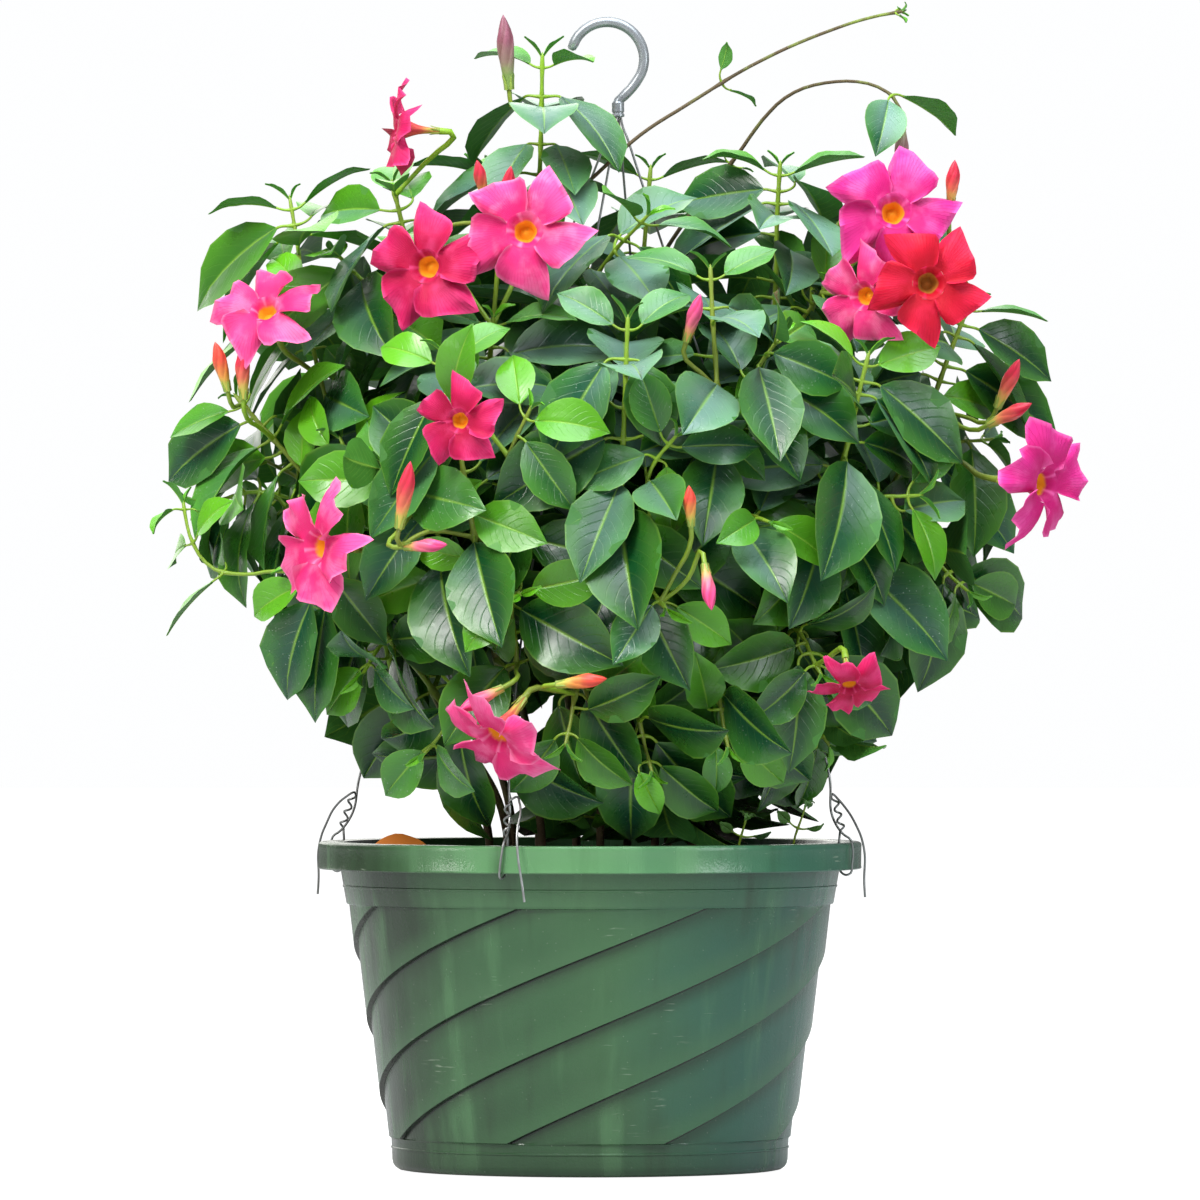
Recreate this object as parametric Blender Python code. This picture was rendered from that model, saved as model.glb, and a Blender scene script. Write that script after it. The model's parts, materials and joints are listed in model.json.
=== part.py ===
"""A mandevilla in its hanging pot, with its four-wire hanger.

Lengths are in millimetres until put() makes them metres. +Z is up, the front is -Y, and the
origin is the middle of the pot's underside. A bearing is an angle from the front, positive to the
right. Every leafy stem is grown as one closed skin: a square tube whose side faces are drawn out
into petioles, side shoots and flower stalks.
"""

import math
import random
from dataclasses import dataclass, field

import bpy
from mathutils import Vector
from mathutils.bvhtree import BVHTree

METRES = 0.001
GAP = 0.3
UP = Vector((0, 0, 1))

# Pot: a 12 inch hanging basket
RIM_RADIUS = 160.0
RIM_TOP = 193.0
LEDGE = 2.2
SKIRT_BOTTOM = 177.0
SKIRT_WALL = 2.0
BAND_RADIUS = 147.0
PANEL_FOOT_RADIUS = 119.5
FOOT_RADIUS = 116.5
FOOT_TOP = 19.0
BASE_ROUND = 6.0
WALL = 2.4
FLOOR = 3.0
# Where the underside's triangles meet, beside the axis, so that one face holds the origin
UNDERSIDE_FAN = (14.0, -9.0, 0.0)
DRAIN_HOLES = 4
DRAIN_HOLE_RADIUS = 5.0
DRAIN_CIRCLE = 70.0
SWIRLS = 8
SWIRL_STEP = 2.6
SWIRL_TOP = 156.0
SWIRL_SWEEP = math.radians(141)
SWIRL_START = math.radians(-68)
SWIRL_LEVELS = 9
PANEL_COLUMNS = (0.014, 0.34, 0.66, 0.986)

# Potting mix
SOIL_EDGE = 184.0
SOIL_MOUND = 4.0
SOIL_COLUMNS = 20
ROOT_DEPTH = 14.0

# Hook and wires
HOOK_TUBE = 3.1
HOOK_BEND = 21.8
HOOK_CENTRE = (10.0, 653.8)
HOOK_ROOM = 16.0
COLLAR_TOP = 629.0
COLLAR_BOTTOM = 619.6
COLLAR_RADIUS = (3.3, 3.8)
APEX_X = 16.5
WIRE = 0.7
WIRE_SPREAD = 1.75
WIRE_SOCKET = 6.5
WIRE_HOLE_CIRCLE = 153.4
WIRE_HOLE = 2.0
TWIST_TURNS = 3
TWIST_TOP = 219.0
TWIST_RADIUS = 1.75
# Each wire's bearing, then how far its lower half bows out and to its right, in millimetres
WIRES = {
    "front": (math.radians(-18), 2.0, 9.0),
    "right": (math.radians(72), 6.0, -1.0),
    "back": (math.radians(162), 3.0, 4.0),
    "left": (math.radians(-108), 1.0, -4.0),
}

# Canopy
CANOPY_CENTRE = Vector((18, 0, 390))
CANOPY_SPAN = Vector((250, 205, 215))
INTERNODE = 38.0
NODE_HALF = 1.5
RING_STEP = 60.0
RING_TURN = math.radians(32)
LEAF_LENGTH = 74.0
LEAF_WIDTH = 0.62
LEAF_THICKNESS = 0.55
LEAF_CLEARANCE = 0.45
YOUNG_LEAF = (0.58, 0.9)
PETIOLE = 9.0
FEW_STATIONS = 45.0
MANY_STATIONS = 90.0
STEM_THICK = (2.5, 1.15)
SHOOT_THICK = (1.5, 0.95)
VINE_THICK = (1.3, 0.95)
SEEDLING_THICK = (0.8, 0.5)
SEEDLING_DEPTH = 6.0
LEAF_TRIES = 34
STALK_STARTS = 24
BARE_DEPTH = 0.55
FRONT_LEAVES = -60.0
STEM_CLEARANCE = 0.7
NECK = 1.2


def rim_point(radius, bearing, height):
    """A point at this bearing round the pot's axis."""
    return Vector((radius * math.sin(bearing), -radius * math.cos(bearing), height))


def mix(a, b, share):
    return a + (b - a) * share


def perpendicular(vector, axis):
    """The unit part of vector at right angles to axis."""
    left = vector - axis * vector.dot(axis)
    if left.length < 1e-4:
        left = axis.orthogonal()
    return left.normalized()


class Skin:
    """A mesh in the making: points, and faces that turn anticlockwise seen from outside."""

    def __init__(self):
        self.points = []
        self.faces = []

    def add(self, points):
        start = len(self.points)
        self.points.extend(Vector(point) for point in points)
        return list(range(start, len(self.points)))

    def bridge(self, lower, upper, skip=()):
        """The side faces between two rings, each turning anticlockwise seen from the upper end."""
        count = len(lower)
        for i in range(count):
            if i not in skip:
                j = (i + 1) % count
                self.faces.append((lower[i], lower[j], upper[j], upper[i]))

    def bridge_turned(self, lower, upper):
        """A bridge whose upper ring is turned onwards, cut along the diagonals that lean least."""
        count = len(lower)
        for i in range(count):
            j = (i + 1) % count
            self.faces.append((lower[i], lower[j], upper[i]))
            self.faces.append((lower[j], upper[j], upper[i]))

    def fan(self, ring, tip):
        count = len(ring)
        for i in range(count):
            self.faces.append((ring[i], ring[(i + 1) % count], tip))

    def tree(self):
        return BVHTree.FromPolygons(self.points, self.faces)


def put(name, skin, colour, roughness, metallic=0.0, sharp=40):
    """The skin as a named object in metres, with its own material."""
    mesh = bpy.data.meshes.new(name)
    mesh.from_pydata([point * METRES for point in skin.points], [], skin.faces)
    mesh.validate()
    mesh.shade_smooth()
    mesh.set_sharp_from_angle(angle=math.radians(sharp))
    material = bpy.data.materials.new(name)
    material.use_nodes = True
    shader = material.node_tree.nodes["Principled BSDF"]
    shader.inputs["Base Color"].default_value = (*colour, 1)
    shader.inputs["Roughness"].default_value = roughness
    shader.inputs["Metallic"].default_value = metallic
    mesh.materials.append(material)
    obj = bpy.data.objects.new(name, mesh)
    bpy.context.scene.collection.objects.link(obj)
    return obj


def cut(obj, skins):
    """Cuts each skin's shape from the object."""
    for skin in skins:
        cutter = put("cutter", skin, (1, 1, 1), 0.5)
        cutter.hide_render = True
        cutter.display_type = "WIRE"
        modifier = obj.modifiers.new("cut", "BOOLEAN")
        modifier.operation = "DIFFERENCE"
        modifier.object = cutter


def circle(centre, u, v, radius, sides, turn=0.0):
    """A ring that turns anticlockwise from u to v."""
    angles = (turn + math.tau * i / sides for i in range(sides))
    return [centre + (u * math.cos(a) + v * math.sin(a)) * radius for a in angles]


class Route:
    """A smooth curve through hand-chosen points, with a frame that turns as little as it can."""

    def __init__(self, controls, step=9.0):
        self.points = self.smoothed([Vector(point) for point in controls], step)
        self.reach = [0.0]
        for a, b in zip(self.points, self.points[1:]):
            self.reach.append(self.reach[-1] + (b - a).length)
        self.length = self.reach[-1]
        self.frames = self.transported()

    @staticmethod
    def smoothed(controls, step):
        """A curve through the controls, whose slope at each leans to its shorter side."""
        spans = [(b - a).length for a, b in zip(controls, controls[1:])]
        slopes = [(b - a) / span for a, b, span in zip(controls, controls[1:], spans)]
        tangents = [slopes[0]]
        for i in range(1, len(spans)):
            whole = spans[i - 1] + spans[i]
            tangents.append((slopes[i - 1] * spans[i] + slopes[i] * spans[i - 1]) / whole)
        tangents.append(slopes[-1])
        points = [controls[0]]
        for i, span in enumerate(spans):
            pieces = max(1, round(span / step))
            for k in range(1, pieces + 1):
                t = k / pieces
                start = controls[i] + (tangents[i] * span) * t * (1 - t)
                end = controls[i + 1] - (tangents[i + 1] * span) * t * (1 - t)
                points.append(mix(start, end, t * t * (3 - 2 * t)))
        return points

    def transported(self):
        last = len(self.points) - 1
        frames = []
        side = Vector((1, 0, 0))
        for i in range(last + 1):
            tangent = (self.points[min(i + 1, last)] - self.points[max(i - 1, 0)]).normalized()
            side = perpendicular(side, tangent)
            frames.append((tangent, side))
        return frames

    def at(self, distance):
        """The point, the direction of growth and the two side directions at this distance along."""
        distance = min(max(distance, 0.0), self.length)
        i = 0
        while i < len(self.reach) - 2 and self.reach[i + 1] < distance:
            i += 1
        share = (distance - self.reach[i]) / (self.reach[i + 1] - self.reach[i])
        point = mix(self.points[i], self.points[i + 1], share)
        tangent = mix(self.frames[i][0], self.frames[i + 1][0], share).normalized()
        u = perpendicular(mix(self.frames[i][1], self.frames[i + 1][1], share), tangent)
        return point, tangent, u, tangent.cross(u)


def tube(points, radii, sides, skin=None):
    """A closed tube through the points."""
    skin = skin or Skin()
    side = Vector((0, 1, 0))
    last = len(points) - 1
    rings = []
    for i, point in enumerate(points):
        tangent = (points[min(i + 1, last)] - points[max(i - 1, 0)]).normalized()
        side = perpendicular(side, tangent)
        radius = radii[i] if isinstance(radii, list) else radii
        rings.append(skin.add(circle(point, side, tangent.cross(side), radius, sides)))
    skin.faces.append(tuple(reversed(rings[0])))
    for lower, upper in zip(rings, rings[1:]):
        skin.bridge(lower, upper)
    skin.faces.append(tuple(rings[-1]))
    return skin


# The pot and its filling


def panel_radius(height):
    """The outside of the pot's body at the proud edge of its swirl panels."""
    return mix(PANEL_FOOT_RADIUS, BAND_RADIUS, (height - FOOT_TOP) / (SKIRT_BOTTOM - FOOT_TOP))


def inner_radius(height):
    return panel_radius(height) - SWIRL_STEP - WALL


def pot_ring(radius, height, turn, relief=0.0):
    """One ring of the pot. Each panel rises by relief from one swirl line to the next."""
    points = []
    for panel in range(SWIRLS):
        for share in PANEL_COLUMNS:
            bearing = SWIRL_START + turn + (panel + share) * math.tau / SWIRLS
            points.append(rim_point(radius + relief * share, bearing, height))
    return points


def pot_skin():
    skin = Skin()
    sweep = SWIRL_SWEEP
    rings = [
        pot_ring(FOOT_RADIUS - BASE_ROUND, 0, 0),
        pot_ring(FOOT_RADIUS - BASE_ROUND * 0.3, BASE_ROUND * 0.3, 0),
        pot_ring(FOOT_RADIUS, BASE_ROUND, 0),
        pot_ring(FOOT_RADIUS + 0.8, FOOT_TOP, 0),
    ]
    for i in range(SWIRL_LEVELS + 1):
        share = i / SWIRL_LEVELS
        height = mix(FOOT_TOP + 0.6, SWIRL_TOP, share)
        rings.append(
            pot_ring(panel_radius(height) - SWIRL_STEP, height, sweep * share, SWIRL_STEP)
        )
    under_ledge = RIM_TOP - LEDGE
    skirt_inside = RIM_RADIUS - SKIRT_WALL
    lip = inner_radius(RIM_TOP)
    for radius, height in (
        (panel_radius(SWIRL_TOP + 1), SWIRL_TOP + 1),
        (panel_radius(under_ledge), under_ledge),
        (skirt_inside, under_ledge),
        (skirt_inside, SKIRT_BOTTOM),
        (RIM_RADIUS, SKIRT_BOTTOM),
        (RIM_RADIUS, RIM_TOP - 1),
        (RIM_RADIUS - 1, RIM_TOP),
        (lip, RIM_TOP),
        (inner_radius(FLOOR + 4), FLOOR + 4),
        (inner_radius(FLOOR) - 4, FLOOR),
    ):
        rings.append(pot_ring(radius, height, sweep))
    indices = [skin.add(ring) for ring in rings]
    skin.fan(list(reversed(indices[0])), skin.add([UNDERSIDE_FAN])[0])
    for i, (lower, upper) in enumerate(zip(indices, indices[1:])):
        turned = 4 <= i < 4 + SWIRL_LEVELS
        (skin.bridge_turned if turned else skin.bridge)(lower, upper)
    skin.fan(indices[-1], skin.add([(0, 0, FLOOR)])[0])
    return skin


def peg(centre, radius, low, high, sides=6):
    """An upright cylinder."""
    ends = (Vector((centre.x, centre.y, low)), Vector((centre.x, centre.y, high)))
    return tube(list(ends), radius, sides)


def build_pot():
    pot = put("pot", pot_skin(), (0.085, 0.165, 0.105), 0.35, sharp=30)
    cutters = []
    for i in range(DRAIN_HOLES):
        place = rim_point(DRAIN_CIRCLE, math.radians(45) + i * math.tau / DRAIN_HOLES, 0)
        cutters.append(peg(place, DRAIN_HOLE_RADIUS, -2, FLOOR + 2))
    for bearing, _, _ in WIRES.values():
        place = rim_point(WIRE_HOLE_CIRCLE, bearing, 0)
        cutters.append(peg(place, WIRE_HOLE, RIM_TOP - LEDGE - 2, RIM_TOP + 2))
    cut(pot, cutters)


def soil_height(x, y):
    """The top of the potting mix: a low mound with a few dips."""
    reach = math.hypot(x, y) / inner_radius(SOIL_EDGE)
    swell = 1.1 * math.sin(x / 19 + 1.3) * math.sin(y / 23 - 0.4)
    return SOIL_EDGE + SOIL_MOUND * (1 - reach * reach) + swell * (1 - reach)


def soil_skin():
    skin = Skin()
    bottom = FLOOR + GAP
    levels = [(inner_radius(bottom) - 5, bottom), (inner_radius(bottom + 6), bottom + 6)]
    levels += [(inner_radius(SOIL_EDGE), None)]
    levels += [(inner_radius(SOIL_EDGE) * share, None) for share in (0.75, 0.5, 0.25)]
    rings = []
    for radius, height in levels:
        ring = []
        for i in range(SOIL_COLUMNS):
            point = rim_point(radius - GAP - 0.9, i * math.tau / SOIL_COLUMNS, 0)
            point.z = soil_height(point.x, point.y) if height is None else height
            ring.append(point)
        rings.append(skin.add(ring))
    skin.faces.append(tuple(reversed(rings[0])))
    for lower, upper in zip(rings, rings[1:]):
        skin.bridge(lower, upper)
    skin.fan(rings[-1], skin.add([(0, 0, soil_height(0, 0))])[0])
    return skin


# The hanger


def hook_points():
    """Round the bend from the open tip, then back under it to the collar."""
    x, z = HOOK_CENTRE
    points = []
    for i in range(10):
        angle = math.radians(mix(163, -38, i / 9))
        points.append(Vector((x + HOOK_BEND * math.cos(angle), 0, z + HOOK_BEND * math.sin(angle))))
    points.append(Vector((APEX_X + 3.6, 0, COLLAR_TOP + 3.2)))
    points.append(Vector((APEX_X, 0, COLLAR_TOP)))
    return points


def wire_socket(bearing):
    return Vector((APEX_X, 0, 0)) + rim_point(WIRE_SPREAD, bearing, 0)


def build_hook():
    points = hook_points()
    points.append(Vector((APEX_X, 0, COLLAR_TOP - 1)))
    points.append(Vector((APEX_X, 0, COLLAR_BOTTOM)))
    radii = [HOOK_TUBE * 0.8] + [HOOK_TUBE] * (len(points) - 4)
    radii += [HOOK_TUBE * 0.9, COLLAR_RADIUS[0], COLLAR_RADIUS[1]]
    hook = put("hook", tube(points, radii, 8), (0.36, 0.37, 0.38), 0.4)
    sockets = []
    for bearing, _, _ in WIRES.values():
        top = COLLAR_BOTTOM + WIRE_SOCKET
        sockets.append(peg(wire_socket(bearing), WIRE + GAP, COLLAR_BOTTOM - 3, top))
    cut(hook, sockets)


def wire_axis(bearing, bow_out, bow_side):
    """The straight run, from inside the collar to just above the rim."""
    outward = rim_point(1, bearing, 0)
    side = UP.cross(outward) * -1
    top = wire_socket(bearing)
    end = outward * (WIRE_HOLE_CIRCLE + 2.6)
    points = [top + UP * (COLLAR_BOTTOM + WIRE_SOCKET - GAP), top + UP * COLLAR_BOTTOM]
    for share in (0.04, 0.2, 0.4, 0.6, 0.76, 0.9):
        bow = math.sin(math.pi * share**1.7)
        point = mix(top, end, share) + outward * bow_out * bow + side * bow_side * bow
        points.append(point + UP * mix(COLLAR_BOTTOM, TWIST_TOP - 20, share))
    return points, outward, side, end


def wire_points(bearing, bow_out, bow_side):
    """Down to the rim, out over it, under the skirt, up its hole, round itself and away."""
    points, outward, side, end = wire_axis(bearing, bow_out, bow_side)
    lean = (points[-1] - (end + UP * (RIM_TOP + 4))).normalized()

    def beside(radius, height, along=0.0):
        return outward * radius + side * along + UP * height

    points += [
        end + UP * (RIM_TOP + 5),
        beside(RIM_RADIUS + 0.4, RIM_TOP + 1.8),
        beside(RIM_RADIUS + 1.8, RIM_TOP - 3, 0.6),
        beside(RIM_RADIUS + 1.8, SKIRT_BOTTOM + 3, 2.0),
        beside(RIM_RADIUS + 1.2, SKIRT_BOTTOM - 1.6, 2.4),
        beside(RIM_RADIUS - 1.5, SKIRT_BOTTOM - 2.8, 2.2),
        beside(WIRE_HOLE_CIRCLE + 1.6, SKIRT_BOTTOM - 1.2, 1.4),
        beside(WIRE_HOLE_CIRCLE, SKIRT_BOTTOM + 5, 0.6),
        beside(WIRE_HOLE_CIRCLE, RIM_TOP - LEDGE - 2),
        beside(WIRE_HOLE_CIRCLE, RIM_TOP + 1.5),
    ]
    inward = perpendicular(outward * -1, lean)
    across = lean.cross(inward)
    low = end + UP * (RIM_TOP + 4) + lean * 2.0
    rise = (TWIST_TOP - RIM_TOP - 6) / lean.z
    steps = TWIST_TURNS * 5
    for i in range(steps + 1):
        angle = math.tau * i * TWIST_TURNS / steps
        ring = inward * math.cos(angle) + across * math.sin(angle)
        points.append(low + lean * rise * i / steps + ring * TWIST_RADIUS)
    top = points[-1]
    points += [
        top + outward * -1 - side * 4 + UP * 3,
        beside(RIM_RADIUS - 8, TWIST_TOP - 2, -7),
        beside(RIM_RADIUS + 3.5, RIM_TOP + 5, -9),
        beside(RIM_RADIUS + 5, TWIST_TOP - 58, -14),
    ]
    return points


# Where everything grows


@dataclass
class Stem:
    """A stem, side shoot or stalk. Its children leave its four side faces."""

    name: str
    route: Route
    thick: tuple
    tree: str
    parent: object = None
    leaf_nodes: list = field(default_factory=list)
    children: list = field(default_factory=list)
    flat_end: bool = False
    first_ring: float = 6.0

    def radius(self, distance):
        return mix(self.thick[0], self.thick[1], min(1.0, distance / self.route.length))

    def free_sides(self, distance):
        """The sides that a shoot may leave at this node, so that a leaf pair still has two."""
        taken = [side for where, side, _ in self.children if where == distance]
        if len(taken) > 1:
            return []
        return [(taken[0] + 2) % 4] if taken else [0, 1, 2, 3]


@dataclass
class Leaf:
    """One leaf: where its petiole leaves the stem and how its blade lies."""

    stem: Stem
    root: Vector
    face: Vector
    base: Vector
    along: Vector
    normal: Vector
    length: float
    width: float
    arch: float
    fold: float


def blade_width(t):
    """Half of the blade's width at t of its length, against its widest half."""
    return math.sin(math.pi * t**0.9) ** 0.8 * (1 - 0.5 * max(0.0, (t - 0.72) / 0.28) ** 1.5)


def blade_rib(leaf, t):
    """The midrib's point, its direction and the blade's upward direction there."""
    bend = leaf.arch * t
    reach = math.sin(bend) / leaf.arch
    fall = (1 - math.cos(bend)) / leaf.arch
    point = leaf.base + (leaf.along * reach - leaf.normal * fall) * leaf.length
    upward = leaf.normal * math.cos(bend) + leaf.along * math.sin(bend)
    return point, upward


def leaf_stations(length):
    if length < FEW_STATIONS:
        return (0.42,)
    return (0.32, 0.68) if length < MANY_STATIONS else (0.22, 0.5, 0.8)


def leaf_rings(leaf, spare=0.0):
    """Rings of edge, top, edge and underside from the blade's base, then its tip."""
    side = leaf.normal.cross(leaf.along)
    rings = []
    for t in (0.0, *leaf_stations(leaf.length)):
        centre, upward = blade_rib(leaf, t)
        if t == 0:
            half, thick = 0.9, 0.75
        else:
            half, thick = leaf.width / 2 * blade_width(t) * 1.04, LEAF_THICKNESS
        edge = side * (half + spare) * math.cos(leaf.fold)
        lift = upward * half * math.sin(leaf.fold)
        skin_off = upward * (thick + spare)
        rings.append(
            [centre + edge + lift, centre + skin_off, centre - edge + lift, centre - skin_off]
        )
    tip, _ = blade_rib(leaf, 1.0)
    return rings, tip


def leaf_body(leaf):
    """A closed blade a little thicker than the leaf, for keeping others clear of it."""
    rings, tip = leaf_rings(leaf, LEAF_CLEARANCE)
    skin = Skin()
    start = skin.add([mix(leaf.root, leaf.base, 0.28)])[0]
    indices = [skin.add(ring) for ring in rings]
    skin.fan(list(reversed(indices[0])), start)
    for lower, upper in zip(indices, indices[1:]):
        skin.bridge(lower, upper)
    skin.fan(indices[-1], skin.add([tip + (tip - leaf.base).normalized() * LEAF_CLEARANCE])[0])
    return skin


class Crowd:
    """Everything placed so far, so that what comes next can keep clear of it."""

    def __init__(self):
        self.bodies = []

    def add(self, skin, label):
        low, high = self.box(skin)
        self.bodies.append((low, high, skin.tree(), label))

    @staticmethod
    def box(skin):
        low = [min(point[k] for point in skin.points) for k in range(3)]
        high = [max(point[k] for point in skin.points) for k in range(3)]
        return low, high

    def hit(self, skin, leave_out=()):
        """Whether the skin crosses a body whose label isn't left out."""
        low, high = self.box(skin)
        tree = None
        for other_low, other_high, other, label in self.bodies:
            if any(low[k] > other_high[k] or high[k] < other_low[k] for k in range(3)):
                continue
            if label in leave_out:
                continue
            tree = tree or skin.tree()
            if tree.overlap(other):
                return True
        return False


# The main stems: where each stands in the mix, then the points that it grows through
AXES = {
    "crown": ((-8, 6), (-16, 4, 330), (-30, -6, 500), (-28, -14, 655)),
    "crown_left": ((-30, 14), (-52, 6, 330), (-90, -18, 470), (-116, -28, 580)),
    "left": ((-59, -12), (-74, -20, 241), (-102, -28, 300), (-155, -28, 392), (-208, -24, 455)),
    "lower_left": ((-48, -38), (-78, -62, 262), (-120, -88, 316), (-168, -96, 352)),
    "front_left": ((-28, -52), (-52, -98, 290), (-70, -128, 390), (-84, -132, 478)),
    "front": ((6, -58), (10, -104, 290), (18, -136, 400), (22, -140, 498)),
    "front_right": ((38, -45), (60, -88, 300), (74, -112, 420), (70, -104, 528)),
    "right_front": ((60, -25), (98, -66, 300), (140, -98, 392), (162, -100, 478)),
    "right": ((60, 12), (112, 6, 310), (182, -14, 410), (224, -28, 512)),
    "crown_right": ((22, 32), (60, 32, 340), (104, 18, 470), (112, -2, 592)),
    "crown_back": ((6, 34), (14, 52, 340), (26, 66, 470), (36, 68, 592)),
    "back_left": ((-45, 42), (-84, 76, 300), (-124, 94, 390), (-152, 92, 486)),
    "back": ((-8, 62), (-14, 110, 300), (-18, 138, 400), (-12, 134, 502)),
    "back_right": ((46, 48), (80, 86, 300), (116, 108, 390), (138, 100, 490)),
}

# Side shoots: the stem each leaves, how far up it, where it ends, and how far its middle rises
SHOOTS = (
    ("crown", 0.62, (34, -62, 560), 8),
    ("crown", 0.74, (-62, 26, 590), 6),
    ("crown_left", 0.5, (-56, -88, 500), 10),
    ("crown_left", 0.62, (-150, -16, 540), 14),
    ("left", 0.6, (-177, 6, 572), -20),
    ("left", 0.66, (-226, -18, 392), 16),
    ("left", 0.5, (-196, 36, 420), 20),
    ("lower_left", 0.62, (-132, -104, 292), 16),
    ("lower_left", 0.5, (-146, -58, 430), 0),
    ("front_left", 0.5, (-122, -114, 416), 12),
    ("front_left", 0.4, (-40, -160, 338), 20),
    ("front_left", 0.62, (-34, -150, 446), 10),
    ("front_left", 0.24, (-96, -122, 246), 24),
    ("front", 0.3, (-14, -150, 252), 30),
    ("front", 0.46, (44, -162, 330), 20),
    ("front", 0.6, (50, -150, 430), 10),
    ("front", 0.24, (36, -142, 236), 30),
    ("front_right", 0.3, (80, -134, 250), 32),
    ("front_right", 0.52, (104, -146, 380), 16),
    ("front_right", 0.68, (112, -112, 490), 10),
    ("right_front", 0.4, (134, -122, 292), 26),
    ("right_front", 0.3, (140, -58, 250), 26),
    ("right_front", 0.58, (192, -94, 396), 18),
    ("right", 0.5, (222, -30, 340), 26),
    ("right", 0.62, (238, 4, 430), 16),
    ("right", 0.44, (196, 52, 330), 24),
    ("crown_right", 0.6, (140, -28, 520), 12),
    ("crown_right", 0.72, (164, 24, 578), 12),
    ("crown_back", 0.66, (-36, 92, 548), 12),
    ("back_left", 0.5, (-192, 70, 400), 16),
    ("back_left", 0.38, (-116, 130, 310), 20),
    ("back", 0.5, (-56, 156, 380), 12),
    ("back", 0.36, (30, 156, 290), 20),
    ("back_right", 0.5, (186, 84, 400), 16),
    ("back_right", 0.38, (122, 134, 310), 20),
)

@dataclass
class Vine:
    """A long shoot whose points are chosen by hand, with the places and lengths of its leaf pairs."""

    name: str
    stem: str
    share: float
    points: tuple
    pairs: tuple
    bud: str = ""


VINES = (
    Vine(
        "vine_top",
        "crown",
        0.8,
        (
            (-18, -24, 564),
            (6, -26, 587),
            (28, -24, 607),
            (60, -17, 628),
            (94, -8, 649),
            (132, 0, 667),
            (172, 6, 680),
            (184, 6, 682),
        ),
        ((0.56, 19), (0.985, 9)),
    ),
    Vine(
        "vine_arch",
        "crown_back",
        0.84,
        (
            (60, 54, 565),
            (89, 40, 601),
            (101, 34, 618),
            (118, 28, 634),
            (141, 22, 641),
            (164, 16, 640),
            (178, 12, 633),
        ),
        ((0.4, 7), (0.93, 44)),
        "bud_arch",
    ),
    Vine(
        "vine_left",
        "lower_left",
        0.8,
        (
            (-180, -72, 352),
            (-204, -62, 350),
            (-222, -54, 354),
            (-234, -50, 372),
            (-238, -46, 392),
        ),
        ((0.62, 42), (0.82, 36), (0.97, 20)),
    ),
)

# Weeds that have seeded themselves in the mix: where each stands, then its tip
SEEDLINGS = {
    "seedling_front": ((86, -96), (91, -100, 209)),
    "seedling_right": ((118, -70), (126, -72, 216)),
}
SEEDLING_PAIRS = ((0.62, 11), (0.97, 8))

# The fallen leaf: its base and tip across the mix, and the length of its blade
FALLEN_BASE = (-92, -44)
FALLEN_TIP = (-131, -52)


@dataclass
class Flower:
    """A bloom or bud: the middle of its mouth or its tip, the way it points, its size and roll."""

    name: str
    place: tuple
    aim: tuple
    size: float
    roll: float = 0.0


# A bloom's size is its scale. Each column of a lobe has its share of the lobe's turn, its reach
# half way out and at the edge, and how far it is lifted
BLOOM_TUBE = 36.0
LOBE_COLUMNS = ((0.0, 14.0, 19.0, 0.0), (0.14, 23.0, 32.0, 2.5), (0.86, 25.0, 37.0, -3.0))
BLOOMS = (
    Flower("bloom_top_centre", (-38, -114, 550), (-0.1, -1.0, 0.15), 1.0, 0.2),
    Flower("bloom_top_left", (-96, -106, 529), (-0.35, -0.9, 0.05), 0.95, 0.7),
    Flower("bloom_side", (-114, -52, 611), (-1.0, -0.12, 0.06), 0.72, 0.3),
    Flower("bloom_left", (-190, -62, 506), (-0.25, -0.75, 0.6), 0.85, 0.9),
    Flower("bloom_lower_left", (-160, -140, 366), (-0.8, -0.6, 0.02), 0.98, 0.1),
    Flower("bloom_low", (-56, -178, 254), (-0.5, -0.52, -0.68), 0.98, 0.5),
    Flower("bloom_top_right", (177, -84, 562), (0.05, -0.95, 0.2), 1.0, 0.4),
    Flower("bloom_red", (197, -112, 519), (0.12, -1.0, 0.0), 0.9, 0.0),
    Flower("bloom_right", (267, -80, 402), (0.78, -0.6, -0.1), 0.98, 0.8),
    Flower("bloom_low_right", (150, -158, 284), (0.1, -0.6, -0.75), 0.6, 0.2),
    Flower("bloom_inner", (-76, -166, 438), (-0.3, -0.95, -0.1), 0.7, 0.6),
    Flower("bloom_pale", (158, -92, 512), (-0.5, -0.85, 0.0), 0.8, 0.5),
    Flower("bloom_back", (50, 172, 476), (0.1, 0.95, 0.2), 1.0, 0.2),
)
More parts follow.
